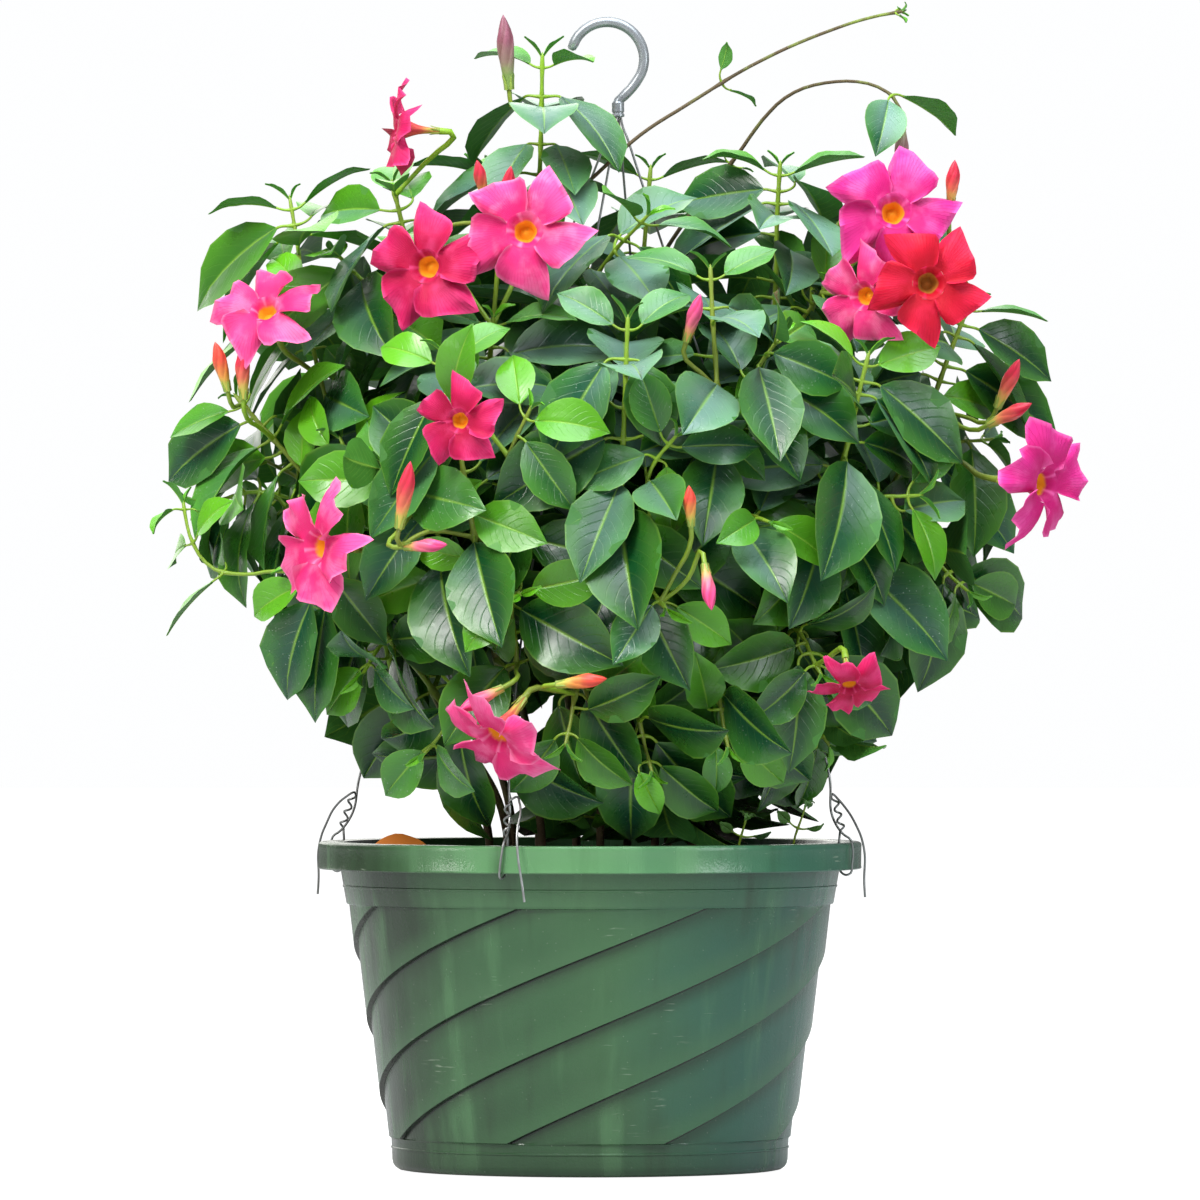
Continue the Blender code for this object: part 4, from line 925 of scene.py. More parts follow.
@dataclass
class Pot:
    """The round pot: foot, eight swirled panels, plain band, rim with its skirt, and its holes."""

    rim_radius: float = 160.0
    rim_top: float = 193.0
    ledge: float = 2.2
    skirt_bottom: float = 177.0
    skirt_wall: float = 2.0
    band_radius: float = 147.0
    panel_foot_radius: float = 119.5
    foot_radius: float = 116.5
    foot_top: float = 19.0
    base_round: float = 6.0
    wall: float = 2.4
    floor: float = 3.0
    drain_holes: int = 4
    drain_hole_radius: float = 5.0
    drain_circle: float = 70.0
    first_drain: float = math.radians(45)
    swirls: int = 8
    swirl_step: float = 2.6
    swirl_top: float = 156.0
    sweep: float = math.radians(141)
    start: float = math.radians(-68)
    levels: int = 72
    wire_hole_circle: float = 153.4
    wire_hole: float = 2.0
    sharp: float = 28.0
    raised_line: Table = ((166.0, 0.0), (166.4, 0.45), (167.3, 0.45), (167.7, 0.0))
    crest: float = 0.982
    crest_end: float = 1.003
    groove: tuple[float, float] = (0.02, 0.983)
    shares: tuple[float, ...] = (
        0.01, 0.026,
        *(0.05 + 0.93 * i / 12 for i in range(13)),
        0.985, 0.991, 0.996, 1.002,
    )

    def panel_radius(self, height: float) -> float:
        """The outside of the body at the proud edge of its swirl panels."""
        share = (height - self.foot_top) / (self.skirt_bottom - self.foot_top)
        return mix(self.panel_foot_radius, self.band_radius, share)

    def inner_radius(self, height: float) -> float:
        """The inside of the body."""
        return self.panel_radius(height) - self.swirl_step - self.wall

    def relief(self, share: float) -> float:
        """How far a panel stands out at this share of its width, from 0 to 1."""
        if share <= self.crest:
            return share
        return self.crest * (1 - ease(share, self.crest, self.crest_end))

    def ring(
        self,
        skin: Skin,
        radius: float,
        height: float,
        turn: float,
        relief: float = 0.0,
        inside: float = 0.0,
    ) -> list[int]:
        """Adds one ring of the pot.

        Args:
            skin: The skin to add it to.
            radius: Its radius where the relief is nothing.
            height: Its height.
            turn: How far round it is turned.
            relief: How far the panels stand out.
            inside: 1 inside the pot.

        Returns:
            The ring's points.
        """
        points = []
        lays = []
        low, high = self.groove
        for panel in range(self.swirls):
            for share in self.shares:
                bearing = self.start + turn + (panel + share) * math.tau / self.swirls
                points.append(rim_point(radius + relief * self.relief(share), bearing, height))
                # The first value marks each step's drop and the last how far in under the rim or
                # inside the pot a point lies; the finish paints shade by both
                dark = 1.0 if relief and not low < share < high else 0.0
                lays.append((dark, share if relief else 0.5, inside))
        return skin.add(points, lays)

    def profile(self) -> list[tuple[float, float, float]]:
        """The outside above the swirl, over the rim and down the inside: radius, height, inside."""
        rim, top, bottom = self.rim_radius, self.rim_top, self.skirt_bottom
        under, skirt, lip = top - self.ledge, rim - self.skirt_wall, self.inner_radius(top)
        floor = self.inner_radius(self.floor)
        band = [(self.panel_radius(height) + out, height, 0) for height, out in self.band_line()]
        return [
            *band,
            (self.panel_radius(under), under, 0.6),
            (skirt, under, 0.6),
            (skirt, bottom + 0.6, 0.6),
            (skirt + 0.5, bottom, 0.2),
            (rim - 0.5, bottom, 0),
            (rim, bottom + 0.6, 0),
            (rim - 0.25, bottom + 1.6, 0),
            (rim - 0.1, top - 3.6, 0),
            (rim, top - 2.4, 0),
            (rim - 0.25, top - 1.1, 0),
            (rim - 0.9, top - 0.35, 0),
            (rim - 2.0, top, 0),
            (lip + 1.6, top, 0),
            (lip + 0.5, top - 0.3, 0.3),
            (lip, top - 1.0, 0.8),
            (self.inner_radius(120.0), 120.0, 1),
            (self.inner_radius(self.floor + 4), self.floor + 4, 1),
            (floor - 1.5, self.floor + 1, 1),
            (floor - 4, self.floor, 1),
        ]

    def band_line(self) -> Table:
        """The plain band with its raised line: each height, and how far it stands out there."""
        top = self.swirl_top
        return ((top + 0.5, -0.2), (top + 1.4, 0.0), *self.raised_line)

    def build(self) -> Skin:
        """Builds the pot's skin.

        Returns:
            The skin, without its holes.
        """
        skin = Skin()
        foot, curve = self.foot_radius, self.base_round
        rings = []
        for radius, height in (
            (foot - curve - 2, 0.0), (foot - curve, 0.0), (foot - curve * 0.62, curve * 0.07),
            (foot - curve * 0.3, curve * 0.29), (foot - curve * 0.08, curve * 0.62), (foot, curve),
            (foot + 0.25, 12.4), (foot + 0.7, 12.8), (foot + 0.75, 13.6), (foot + 0.4, 14.0),
            (foot + 0.6, self.foot_top - 0.5), (foot + 1.0, self.foot_top),
        ):
            rings.append(self.ring(skin, radius, height, 0.0))
        for i in range(self.levels + 1):
            share = i / self.levels
            height = mix(self.foot_top + 0.6, self.swirl_top, share)
            radius = self.panel_radius(height) - self.swirl_step
            rings.append(self.ring(skin, radius, height, self.sweep * share, self.swirl_step))
        for radius, height, inside in self.profile():
            rings.append(self.ring(skin, radius, height, self.sweep, 0.0, inside))
        foot = skin.add([(0, 0, 0)], [(0, 0.5, 0)])[0]
        skin.loft(rings, foot, skin.add([(0, 0, self.floor)], [(0, 0.5, 1)])[0])
        return skin

    def cut_holes(self, obj: bpy.types.Object, bearings: Iterable[float]) -> None:
        """Cuts the drain holes and the wires' holes.

        Args:
            obj: The pot.
            bearings: Where the wires pass through the rim.
        """
        cutter = Skin()
        for i in range(self.drain_holes):
            bearing = self.first_drain + i * math.tau / self.drain_holes
            place = rim_point(self.drain_circle, bearing, -2)
            top = Vector((place.x, place.y, self.floor + 2))
            tube([place, top], self.drain_hole_radius, 24, cutter)
        for bearing in bearings:
            place = rim_point(self.wire_hole_circle, bearing, self.rim_top - self.ledge - 2)
            tube([place, Vector((place.x, place.y, self.rim_top + 2))], self.wire_hole, 16, cutter)
        tool = cutter.put("hole_cutter", [], 30)
        modifier = obj.modifiers.new("holes", "BOOLEAN")
        modifier.operation = "DIFFERENCE"
        modifier.object = tool
        whole = obj.data
        near = KDTree(len(whole.vertices))
        for i, vertex in enumerate(whole.vertices):
            near.insert(vertex.co, i)
        near.balance()
        depsgraph = bpy.context.evaluated_depsgraph_get()
        cut = bpy.data.meshes.new_from_object(obj.evaluated_get(depsgraph))
        kept = whole.attributes["lay"].data
        for vertex, entry in zip(cut.vertices, cut.attributes["lay"].data):
            entry.vector = kept[near.find(vertex.co)[1]].vector
        obj.modifiers.clear()
        obj.data = cut
        cut.set_sharp_from_angle(angle=math.radians(self.sharp))
        bpy.data.objects.remove(tool)

    def dress(self, effects: Effects, bearings: Sequence[float]) -> None:
        """Builds the pot and seats it in the frame.

        Args:
            effects: The shared groups.
            bearings: Where the wires pass through the rim.
        """
        obj = self.build().put("swirl_pot", [PlasticFinish().material(effects)], self.sharp)
        self.cut_holes(obj, bearings)
        fit_piece(obj, "pot", "pot")


@dataclass
class PottingMix:
    """The mound of potting mix, with bark chips and pale grains on it."""

    pot: Pot
    edge: float = 184.0
    mound: float = 4.0
    columns: int = 96
    rows: int = 34
    chips: int = 620
    grains: int = 240

    def height(self, x: float, y: float) -> float:
        """The top of the mix: a low mound with a few dips."""
        reach = math.hypot(x, y) / self.pot.inner_radius(self.edge)
        swell = 1.1 * math.sin(x / 19 + 1.3) * math.sin(y / 23 - 0.4)
        return self.edge + self.mound * (1 - reach * reach) + swell * (1 - reach)

    def crumb(self, x: float, y: float) -> float:
        """The small unevenness of the top."""
        across = math.sin(x * 0.9 + 2 * math.sin(y * 0.31))
        return 0.5 * across * math.sin(y * 0.8 + math.sin(x * 0.43))

    def build(self) -> Skin:
        """Builds the mound, its chips and its grains.

        Returns:
            The skin, with finish 0 for the mix, 1 for chips and 2 for grains.
        """
        skin = Skin()
        outside = self.pot.inner_radius(self.edge) - GAP - 0.9
        rings = []
        wall = self.pot.inner_radius(self.edge) - 1.4
        for radius, height in ((108.0, 3.4), (wall, self.edge - 3)):
            turns = (i * math.tau / self.columns for i in range(self.columns))
            rings.append(skin.add(rim_point(radius, bearing, height) for bearing in turns))
        for i in range(self.rows):
            ring = []
            for k in range(self.columns):
                point = rim_point(outside * (1 - i / self.rows), k * math.tau / self.columns, 0)
                point.z = self.height(point.x, point.y) + self.crumb(point.x, point.y) - 0.3
                ring.append(point)
            rings.append(skin.add(ring))
        skin.loft(rings, tip=skin.add([(0, 0, self.height(0, 0))])[0])
        rng = random.Random("potting mix")
        for _ in range(self.chips):
            self.add_chip(skin, rng, outside)
        for _ in range(self.grains):
            self.add_grain(skin, rng, outside)
        return skin

    def add_chip(self, skin: Skin, rng: random.Random, outside: float) -> None:
        """Adds one flat splinter of bark that lies on the mix.

        Args:
            skin: The skin to add it to.
            rng: Where its size and place come from.
            outside: How far out the mix reaches.
        """
        skin.finish = 1
        skin.tone = (0.0, rng.random(), 0.0)
        reach = (outside - 7) * math.sqrt(rng.random())
        centre = rim_point(reach, rng.uniform(0, math.tau), 0)
        centre.z = self.height(centre.x, centre.y) + 0.3
        heading = rng.uniform(0, math.tau)
        along = Vector((math.cos(heading), math.sin(heading), rng.uniform(-0.25, 0.25)))
        along.normalize()
        side = perpendicular(Vector((-along.y, along.x, rng.uniform(-0.3, 0.3))), along)
        length, width = rng.uniform(3, 10), rng.uniform(1.2, 3.4)
        top = along.cross(side) * rng.uniform(0.4, 0.9)
        rings = []
        for share, wide in ((-0.5, 0.5), (-0.15, 1.0), (0.25, 0.9), (0.5, 0.35)):
            at = centre + along * length * share
            half = side * width * wide * rng.uniform(0.4, 0.6)
            rings.append(skin.add([at - half, at + half * 0.8 - top * 0.5, at + half, at + top]))
        skin.loft(rings)

    def add_grain(self, skin: Skin, rng: random.Random, outside: float) -> None:
        """Adds one pale grain of grit.

        Args:
            skin: The skin to add it to.
            rng: Where its size and place come from.
            outside: How far out the mix reaches.
        """
        skin.finish = 2
        skin.tone = (0.0, rng.random(), 0.0)
        reach = (outside - 4) * math.sqrt(rng.random())
        centre = rim_point(reach, rng.uniform(0, math.tau), 0)
        centre.z = self.height(centre.x, centre.y) + 0.5
        size = rng.uniform(0.5, 1.3)
        sides = (Vector((1, 0, 0)), Vector((0, 1, 0)))
        rings = []
        for rise, wide in ((-0.5, 0.75), (0.1, 1.0), (0.6, 0.7)):
            turn = rng.uniform(0, 1)
            ring = circle(centre + UP * size * rise, *sides, size * wide, 6, turn)
            rings.append(skin.add(point + UP * rng.uniform(-0.15, 0.15) for point in ring))
        skin.loft(rings)

    def dress(self, effects: Effects) -> None:
        """Builds the mix and seats it in the pot."""
        finishes = (
            MixFinish("potting_mix", (0.014, 0.009, 0.006), (0.07, 0.045, 0.028)),
            MixFinish("bark_chips", (0.05, 0.026, 0.013), (0.19, 0.11, 0.06), 700.0),
            MixFinish("pale_grains", (0.5, 0.48, 0.43), (0.75, 0.73, 0.68), 900.0),
        )
        laid = [finish.material(effects) for finish in finishes]
        fit_piece(self.build().put("potting_mix", laid, 50), "soil", "soil")


# The hanger


@dataclass
class Hanger:
    """The open hook with its collar, and four wires twisted through holes in the rim."""

    pot: Pot
    tube_radius: float = 3.1
    bend: float = 21.8
    centre: tuple[float, float] = (10.0, 653.8)
    room: float = 16.0
    collar_top: float = 629.0
    collar_bottom: float = 619.6
    collar_radius: tuple[float, float] = (3.3, 3.8)
    apex: float = 16.5
    wire: float = 0.7
    spread: float = 1.75
    socket: float = 6.5
    turns: int = 3
    twist_top: float = 219.0
    twist_radius: float = 1.75
    # Each wire's bearing, then how far its lower half bows out and to its right
    wires: dict[str, tuple[float, float, float]] = field(
        default_factory=lambda: {
            "front": (math.radians(-18), 2.0, 9.0),
            "right": (math.radians(72), 6.0, -1.0),
            "back": (math.radians(162), 3.0, 4.0),
            "left": (math.radians(-108), 1.0, -4.0),
        }
    )

    def hook_points(self) -> Ring:
        """Round the bend from the open tip, then back under it to the collar."""
        x, z = self.centre
        points = []
        for i in range(10):
            angle = math.radians(mix(163, -38, i / 9))
            points.append(
                Vector((x + self.bend * math.cos(angle), 0, z + self.bend * math.sin(angle)))
            )
        points.append(Vector((self.apex + 3.6, 0, self.collar_top + 3.2)))
        points.append(Vector((self.apex, 0, self.collar_top)))
        return points

    def arm_space(self) -> Ring:
        """The axis of the space that a bracket arm takes in the bend."""
        x, z = self.centre
        return [Vector((x, -self.room, z)), Vector((x, self.room, z))]

    def wire_axis(self, bearing: float, bow_out: float, bow_side: float) -> Any:
        """The straight run, from inside the collar to just above the rim.

        Args:
            bearing: Where the wire meets the rim.
            bow_out: How far it bows outwards.
            bow_side: How far it bows to its right.

        Returns:
            The run's points, the outward and the sideways direction, and its end.
        """
        outward = rim_point(1, bearing, 0)
        side = UP.cross(outward) * -1
        top = Vector((self.apex, 0, 0)) + rim_point(self.spread, bearing, 0)
        end = outward * (self.pot.wire_hole_circle + 2.6)
        low = self.collar_bottom
        points = [top + UP * (low + self.socket - GAP), top + UP * low]
        for share in (0.04, 0.2, 0.4, 0.6, 0.76, 0.9):
            bow = math.sin(math.pi * share**1.7)
            point = mix(top, end, share) + outward * bow_out * bow + side * bow_side * bow
            points.append(point + UP * mix(low, self.twist_top - 20, share))
        return points, outward, side, end

    def wire_points(self, bearing: float, bow_out: float, bow_side: float) -> Ring:
        """Down to the rim, out over it, under the skirt, up its hole, round itself and away.

        Args:
            bearing: Where the wire meets the rim.
            bow_out: How far it bows outwards.
            bow_side: How far it bows to its right.

        Returns:
            The wire's points.
        """
        points, outward, side, end = self.wire_axis(bearing, bow_out, bow_side)
        pot = self.pot
        lean = (points[-1] - (end + UP * (pot.rim_top + 4))).normalized()

        def beside(radius: float, height: float, along: float = 0.0) -> Vector:
            """A point this far out, this high and this far to the wire's right."""
            return outward * radius + side * along + UP * height

        points += [
            end + UP * (pot.rim_top + 5),
            beside(pot.rim_radius + 0.4, pot.rim_top + 1.8),
            beside(pot.rim_radius + 1.8, pot.rim_top - 3, 0.6),
            beside(pot.rim_radius + 1.8, pot.skirt_bottom + 3, 2.0),
            beside(pot.rim_radius + 1.2, pot.skirt_bottom - 1.6, 2.4),
            beside(pot.rim_radius - 1.5, pot.skirt_bottom - 2.8, 2.2),
            beside(pot.wire_hole_circle + 1.6, pot.skirt_bottom - 1.2, 1.4),
            beside(pot.wire_hole_circle, pot.skirt_bottom + 5, 0.6),
            beside(pot.wire_hole_circle, pot.rim_top - pot.ledge - 2),
            beside(pot.wire_hole_circle, pot.rim_top + 1.5),
        ]
        inward = perpendicular(outward * -1, lean)
        across = lean.cross(inward)
        low = end + UP * (pot.rim_top + 4) + lean * 2.0
        rise = (self.twist_top - pot.rim_top - 6) / lean.z
        steps = self.turns * 5
        for i in range(steps + 1):
            angle = math.tau * i * self.turns / steps
            around = spoke(inward, across, angle) * self.twist_radius
            points.append(low + lean * rise * i / steps + around)
        top = points[-1]
        points += [
            top + outward * -1 - side * 4 + UP * 3,
            beside(pot.rim_radius - 8, self.twist_top - 2, -7),
            beside(pot.rim_radius + 3.5, pot.rim_top + 5, -9),
            beside(pot.rim_radius + 5, self.twist_top - 58, -14),
        ]
        return points

    def build_hook(self) -> Skin:
        """The hook's round bar with its rounded tip and the collar under it."""
        route = Route(self.hook_points(), 2.5)
        count = len(route.points)
        points = [route.points[0] + (route.points[0] - route.points[1]).normalized() * 1.2]
        points += route.points
        radii = [self.tube_radius * 0.45, self.tube_radius * 0.86]
        radii += [self.tube_radius] * (count - 3)
        radii += [self.tube_radius * 0.95, self.tube_radius * 0.9]
        low, high = self.collar_radius
        for drop, radius in (
            (0.4, low - 0.1), (0.9, low + 0.25), (1.5, low + 0.35), (4.0, high - 0.2),
            (6.2, high - 0.05), (6.7, high - 0.5), (7.3, high - 0.5), (7.8, high), (9.0, high),
            (9.4, high - 0.4),
        ):
            points.append(Vector((self.apex, 0, self.collar_top - drop)))
            radii.append(radius)
        return tube(points, radii, 24)

    def dress(self, effects: Effects) -> None:
        """Builds the hook and the wires and seats them in the frame."""
        grey = MetalFinish("hook_grey", (0.42, 0.44, 0.46), (0.25, 0.26, 0.28), 0.5, 0.26)
        zinc = MetalFinish("galvanised_wire", (0.4, 0.41, 0.41), (0.2, 0.2, 0.19), 0.8, 0.36)
        hook = self.build_hook().put("hanging_hook", [grey.material(effects)], 40)
        fit_piece(hook, "hook", "hook")
        finish = zinc.material(effects)
        for name, wire in self.wires.items():
            route = Route(self.wire_points(*wire), 1.4)
            skin = tube(route.points, self.wire, 8)
            fit_piece(skin.put(f"hanger_wire_{name}", [finish], 40), "wire", f"wire_{name}")


# The plant's layout


@dataclass
class Stem:
    """A stem, side shoot or stalk. Its children leave its four sides."""

    name: str
    route: Route
    thick: tuple[float, float]
    tree: str
    parent: "Stem | None" = None
    leaf_nodes: list[Any] = field(default_factory=list)
    children: list[Any] = field(default_factory=list)
    flat_end: bool = False
    first_ring: float = 6.0

    def radius(self, distance: float) -> float:
        """How thick it is at this distance."""
        return mix(self.thick[0], self.thick[1], min(1.0, distance / self.route.length))

    def free_sides(self, distance: float) -> list[int]:
        """The sides that a shoot may leave at this node, so that a leaf pair still has two."""
        taken = [side for where, side, _ in self.children if where == distance]
        if len(taken) > 1:
            return []
        return [(taken[0] + 2) % 4] if taken else [0, 1, 2, 3]


@dataclass
class Leaf:
    """One leaf: where its petiole leaves the stem and how its blade lies."""

    stem: Stem | None
    root: Vector
    face: Vector
    base: Vector
    along: Vector
    normal: Vector
    length: float
    width: float
    arch: float
    fold: float
    shaded: bool = False

    def rib(self, t: float) -> tuple[Vector, Vector]:
        """The midrib's point and the blade's upward direction at t of its length."""
        bend = self.arch * t
        reach = math.sin(bend) / self.arch
        fall = (1 - math.cos(bend)) / self.arch
        point = self.base + (self.along * reach - self.normal * fall) * self.length
        upward = self.normal * math.cos(bend) + self.along * math.sin(bend)
        return point, upward


@dataclass
class Vine:
    """A long shoot with given points and the places and lengths of its leaf pairs."""

    name: str
    stem: str
    share: float
    points: tuple[Any, ...]
    pairs: Table
    bud: str = ""


@dataclass
class Flower:
    """A bloom or bud: the middle of its mouth or its tip, the way it points, its size and roll."""

    name: str
    place: tuple[float, float, float]
    aim: tuple[float, float, float]
    size: float
    roll: float = 0.0

    @property
    def heading(self) -> Vector:
        """The way it points, as a unit vector."""
        return Vector(self.aim).normalized()


# The main stems: where each stands in the mix, then the points that it grows through
AXES: dict[str, tuple[Any, ...]] = {
    "crown": ((-8, 6), (-16, 4, 330), (-30, -6, 500), (-28, -14, 655)),
    "crown_left": ((-30, 14), (-52, 6, 330), (-90, -18, 470), (-116, -28, 580)),
    "left": ((-59, -12), (-74, -20, 241), (-102, -28, 300), (-155, -28, 392), (-208, -24, 455)),
    "lower_left": ((-48, -38), (-78, -62, 262), (-120, -88, 316), (-168, -96, 352)),
    "front_left": ((-28, -52), (-52, -98, 290), (-70, -128, 390), (-84, -132, 478)),
    "front": ((6, -58), (10, -104, 290), (18, -136, 400), (22, -140, 498)),
    "front_right": ((38, -45), (60, -88, 300), (74, -112, 420), (70, -104, 528)),
    "right_front": ((60, -25), (98, -66, 300), (140, -98, 392), (162, -100, 478)),
    "right": ((60, 12), (112, 6, 310), (182, -14, 410), (224, -28, 512)),
    "crown_right": ((22, 32), (60, 32, 340), (104, 18, 470), (112, -2, 592)),
    "crown_back": ((6, 34), (14, 52, 340), (26, 66, 470), (36, 68, 592)),
    "back_left": ((-45, 42), (-84, 76, 300), (-124, 94, 390), (-152, 92, 486)),
    "back": ((-8, 62), (-14, 110, 300), (-18, 138, 400), (-12, 134, 502)),
    "back_right": ((46, 48), (80, 86, 300), (116, 108, 390), (138, 100, 490)),
}

# Side shoots: the stem each leaves, how far up it, where it ends, and how far its middle rises
SHOOTS: tuple[Any, ...] = (
    ("crown", 0.62, (34, -62, 560), 8),
    ("crown", 0.74, (-62, 26, 590), 6),
    ("crown_left", 0.5, (-56, -88, 500), 10),
    ("crown_left", 0.62, (-150, -16, 540), 14),
    ("left", 0.6, (-177, 6, 572), -20),
    ("left", 0.66, (-226, -18, 392), 16),
    ("left", 0.5, (-196, 36, 420), 20),
    ("lower_left", 0.62, (-132, -104, 292), 16),
    ("lower_left", 0.5, (-146, -58, 430), 0),
    ("front_left", 0.5, (-122, -114, 416), 12),
    ("front_left", 0.4, (-40, -160, 338), 20),
    ("front_left", 0.62, (-34, -150, 446), 10),
    ("front_left", 0.24, (-96, -122, 246), 24),
    ("front", 0.3, (-14, -150, 252), 30),
    ("front", 0.46, (44, -162, 330), 20),
    ("front", 0.6, (50, -150, 430), 10),
    ("front", 0.24, (36, -142, 236), 30),
    ("front_right", 0.3, (80, -134, 250), 32),
    ("front_right", 0.52, (104, -146, 380), 16),
    ("front_right", 0.68, (112, -112, 490), 10),
    ("right_front", 0.4, (134, -122, 292), 26),
    ("right_front", 0.3, (140, -58, 250), 26),
    ("right_front", 0.58, (192, -94, 396), 18),
    ("right", 0.5, (222, -30, 340), 26),
    ("right", 0.62, (238, 4, 430), 16),
    ("right", 0.44, (196, 52, 330), 24),
    ("crown_right", 0.6, (140, -28, 520), 12),
    ("crown_right", 0.72, (164, 24, 578), 12),
    ("crown_back", 0.66, (-36, 92, 548), 12),
    ("back_left", 0.5, (-192, 70, 400), 16),
    ("back_left", 0.38, (-116, 130, 310), 20),
    ("back", 0.5, (-56, 156, 380), 12),
    ("back", 0.36, (30, 156, 290), 20),
    ("back_right", 0.5, (186, 84, 400), 16),
    ("back_right", 0.38, (122, 134, 310), 20),
)

TOP_POINTS = (
    (-18, -24, 564), (6, -26, 587), (28, -24, 607), (60, -17, 628), (94, -8, 649), (132, 0, 667),
    (172, 6, 680), (184, 6, 682),
)
ARCH_POINTS = (
    (60, 54, 565), (89, 40, 601), (101, 34, 618), (118, 28, 634), (141, 22, 641), (164, 16, 640),
    (178, 12, 633),
)
LEFT_POINTS = (
    (-180, -72, 352), (-204, -62, 350), (-222, -54, 354), (-234, -50, 372), (-238, -46, 392),
)
VINES = (
    Vine("vine_top", "crown", 0.8, TOP_POINTS, ((0.56, 19), (0.985, 9))),
    Vine("vine_arch", "crown_back", 0.84, ARCH_POINTS, ((0.4, 7), (0.93, 44)), "bud_arch"),
    Vine("vine_left", "lower_left", 0.8, LEFT_POINTS, ((0.62, 42), (0.82, 36), (0.97, 20))),
)

# Weeds that have seeded themselves in the mix: where each stands, then its tip
SEEDLINGS: dict[str, tuple[Any, ...]] = {
    "seedling_front": ((86, -96), (91, -100, 209)),
    "seedling_right": ((118, -70), (126, -72, 216)),
}
SEEDLING_PAIRS = ((0.62, 11), (0.97, 8))

# A bloom's size is its scale, and a bud's its length
BLOOMS = (
    Flower("bloom_top_centre", (-38, -114, 550), (-0.1, -1.0, 0.15), 1.0, 0.2),
    Flower("bloom_top_left", (-96, -106, 529), (-0.35, -0.9, 0.05), 0.95, 0.7),
    Flower("bloom_side", (-114, -52, 611), (-1.0, -0.12, 0.06), 0.72, 0.3),
    Flower("bloom_left", (-190, -62, 506), (-0.25, -0.75, 0.6), 0.85, 0.9),
    Flower("bloom_lower_left", (-160, -140, 366), (-0.8, -0.6, 0.02), 0.98, 0.1),
    Flower("bloom_low", (-56, -178, 254), (-0.5, -0.52, -0.68), 0.98, 0.5),
    Flower("bloom_top_right", (177, -84, 562), (0.05, -0.95, 0.2), 1.0, 0.4),
    Flower("bloom_red", (197, -112, 519), (0.12, -1.0, 0.0), 0.9, 0.0),
    Flower("bloom_right", (267, -80, 402), (0.78, -0.6, -0.1), 0.98, 0.8),
    Flower("bloom_low_right", (150, -158, 284), (0.1, -0.6, -0.75), 0.6, 0.2),
    Flower("bloom_inner", (-76, -166, 438), (-0.3, -0.95, -0.1), 0.7, 0.6),
    Flower("bloom_pale", (158, -92, 512), (-0.5, -0.85, 0.0), 0.8, 0.5),
    Flower("bloom_back", (50, 172, 476), (0.1, 0.95, 0.2), 1.0, 0.2),
)
BUDS = (
    Flower("bud_tall", (-51, -22, 679), (-0.08, -0.05, 1.0), 44),
    Flower("bud_top_red", (-46, -84, 588), (0.15, -0.35, 1.0), 34),
    Flower("bud_top_small", (-66, -64, 592), (-0.2, -0.3, 1.0), 24),
    Flower("bud_left_thin", (-219, -62, 486), (-0.25, -0.2, 1.0), 30),
    Flower("bud_left_red", (-203, -66, 484), (-0.02, -0.2, 1.0), 32),
    Flower("bud_long", (-103, -176, 415), (0.18, -0.25, 1.0), 40),
    Flower("bud_fat", (-82, -164, 367), (1.0, -0.3, 0.05), 26),
    Flower("bud_low", (-76, -172, 271), (-0.85, -0.3, -0.45), 30),
    Flower("bud_low_thin", (10, -184, 290), (1.0, -0.25, 0.12), 30),
    Flower("bud_orange", (57, -186, 401), (-0.05, -0.25, 1.0), 24),
    Flower("bud_hanging", (70, -190, 329), (0.15, -0.3, -1.0), 28),
    Flower("bud_pink", (64, -138, 512), (0.3, -0.4, 1.0), 30),
    Flower("bud_right_upper", (251, -60, 476), (0.45, -0.3, 1.0), 32),
    Flower("bud_right_lower", (258, -66, 450), (0.9, -0.4, 0.45), 30),
    Flower("bud_dark", (213, -70, 592), (0.1, -0.2, 1.0), 28),
    Flower("bud_arch", (184, 8, 588), (0.02, -0.05, -1.0), 30),
)
BLOOM_TUBE = 36.0
BLOOM_UP = Vector((0.3, 0.1, 1.0))
BUD_RADIUS = 4.6
BUD_SIDE = Vector((1, 0.2, 0))


def bloom_base(flower: Flower) -> Vector:
    """Where the bloom's tube begins."""
    return Vector(flower.place) - flower.heading * BLOOM_TUBE * flower.size


def bud_base(flower: Flower) -> Vector:
    """Where the bud begins."""
    return Vector(flower.place) - flower.heading * flower.size


def bud_girth(flower: Flower) -> float:
    """The bud's widest radius."""
    return BUD_RADIUS * (flower.size / 30) ** 0.5


def flower_frame(
    flower: Flower, base: Vector, side: Vector
) -> tuple[Vector, Vector, Vector, Vector]:
    """The frame that a bloom or bud is drawn in.

    Args:
        flower: The bloom or bud.
        base: Where it begins.
        side: What its first direction across leans to.

    Returns:
        Where it begins, the way it points and the two directions across it.
    """
    aim = flower.heading
    u = perpendicular(side, aim)
    return base, aim, u, aim.cross(u)


def blade_width(t: float) -> float:
    """Half of the blade's width at t of its length, against its widest half."""
    return math.sin(math.pi * t**0.9) ** 0.8 * (1 - 0.5 * max(0.0, (t - 0.72) / 0.28) ** 1.5)


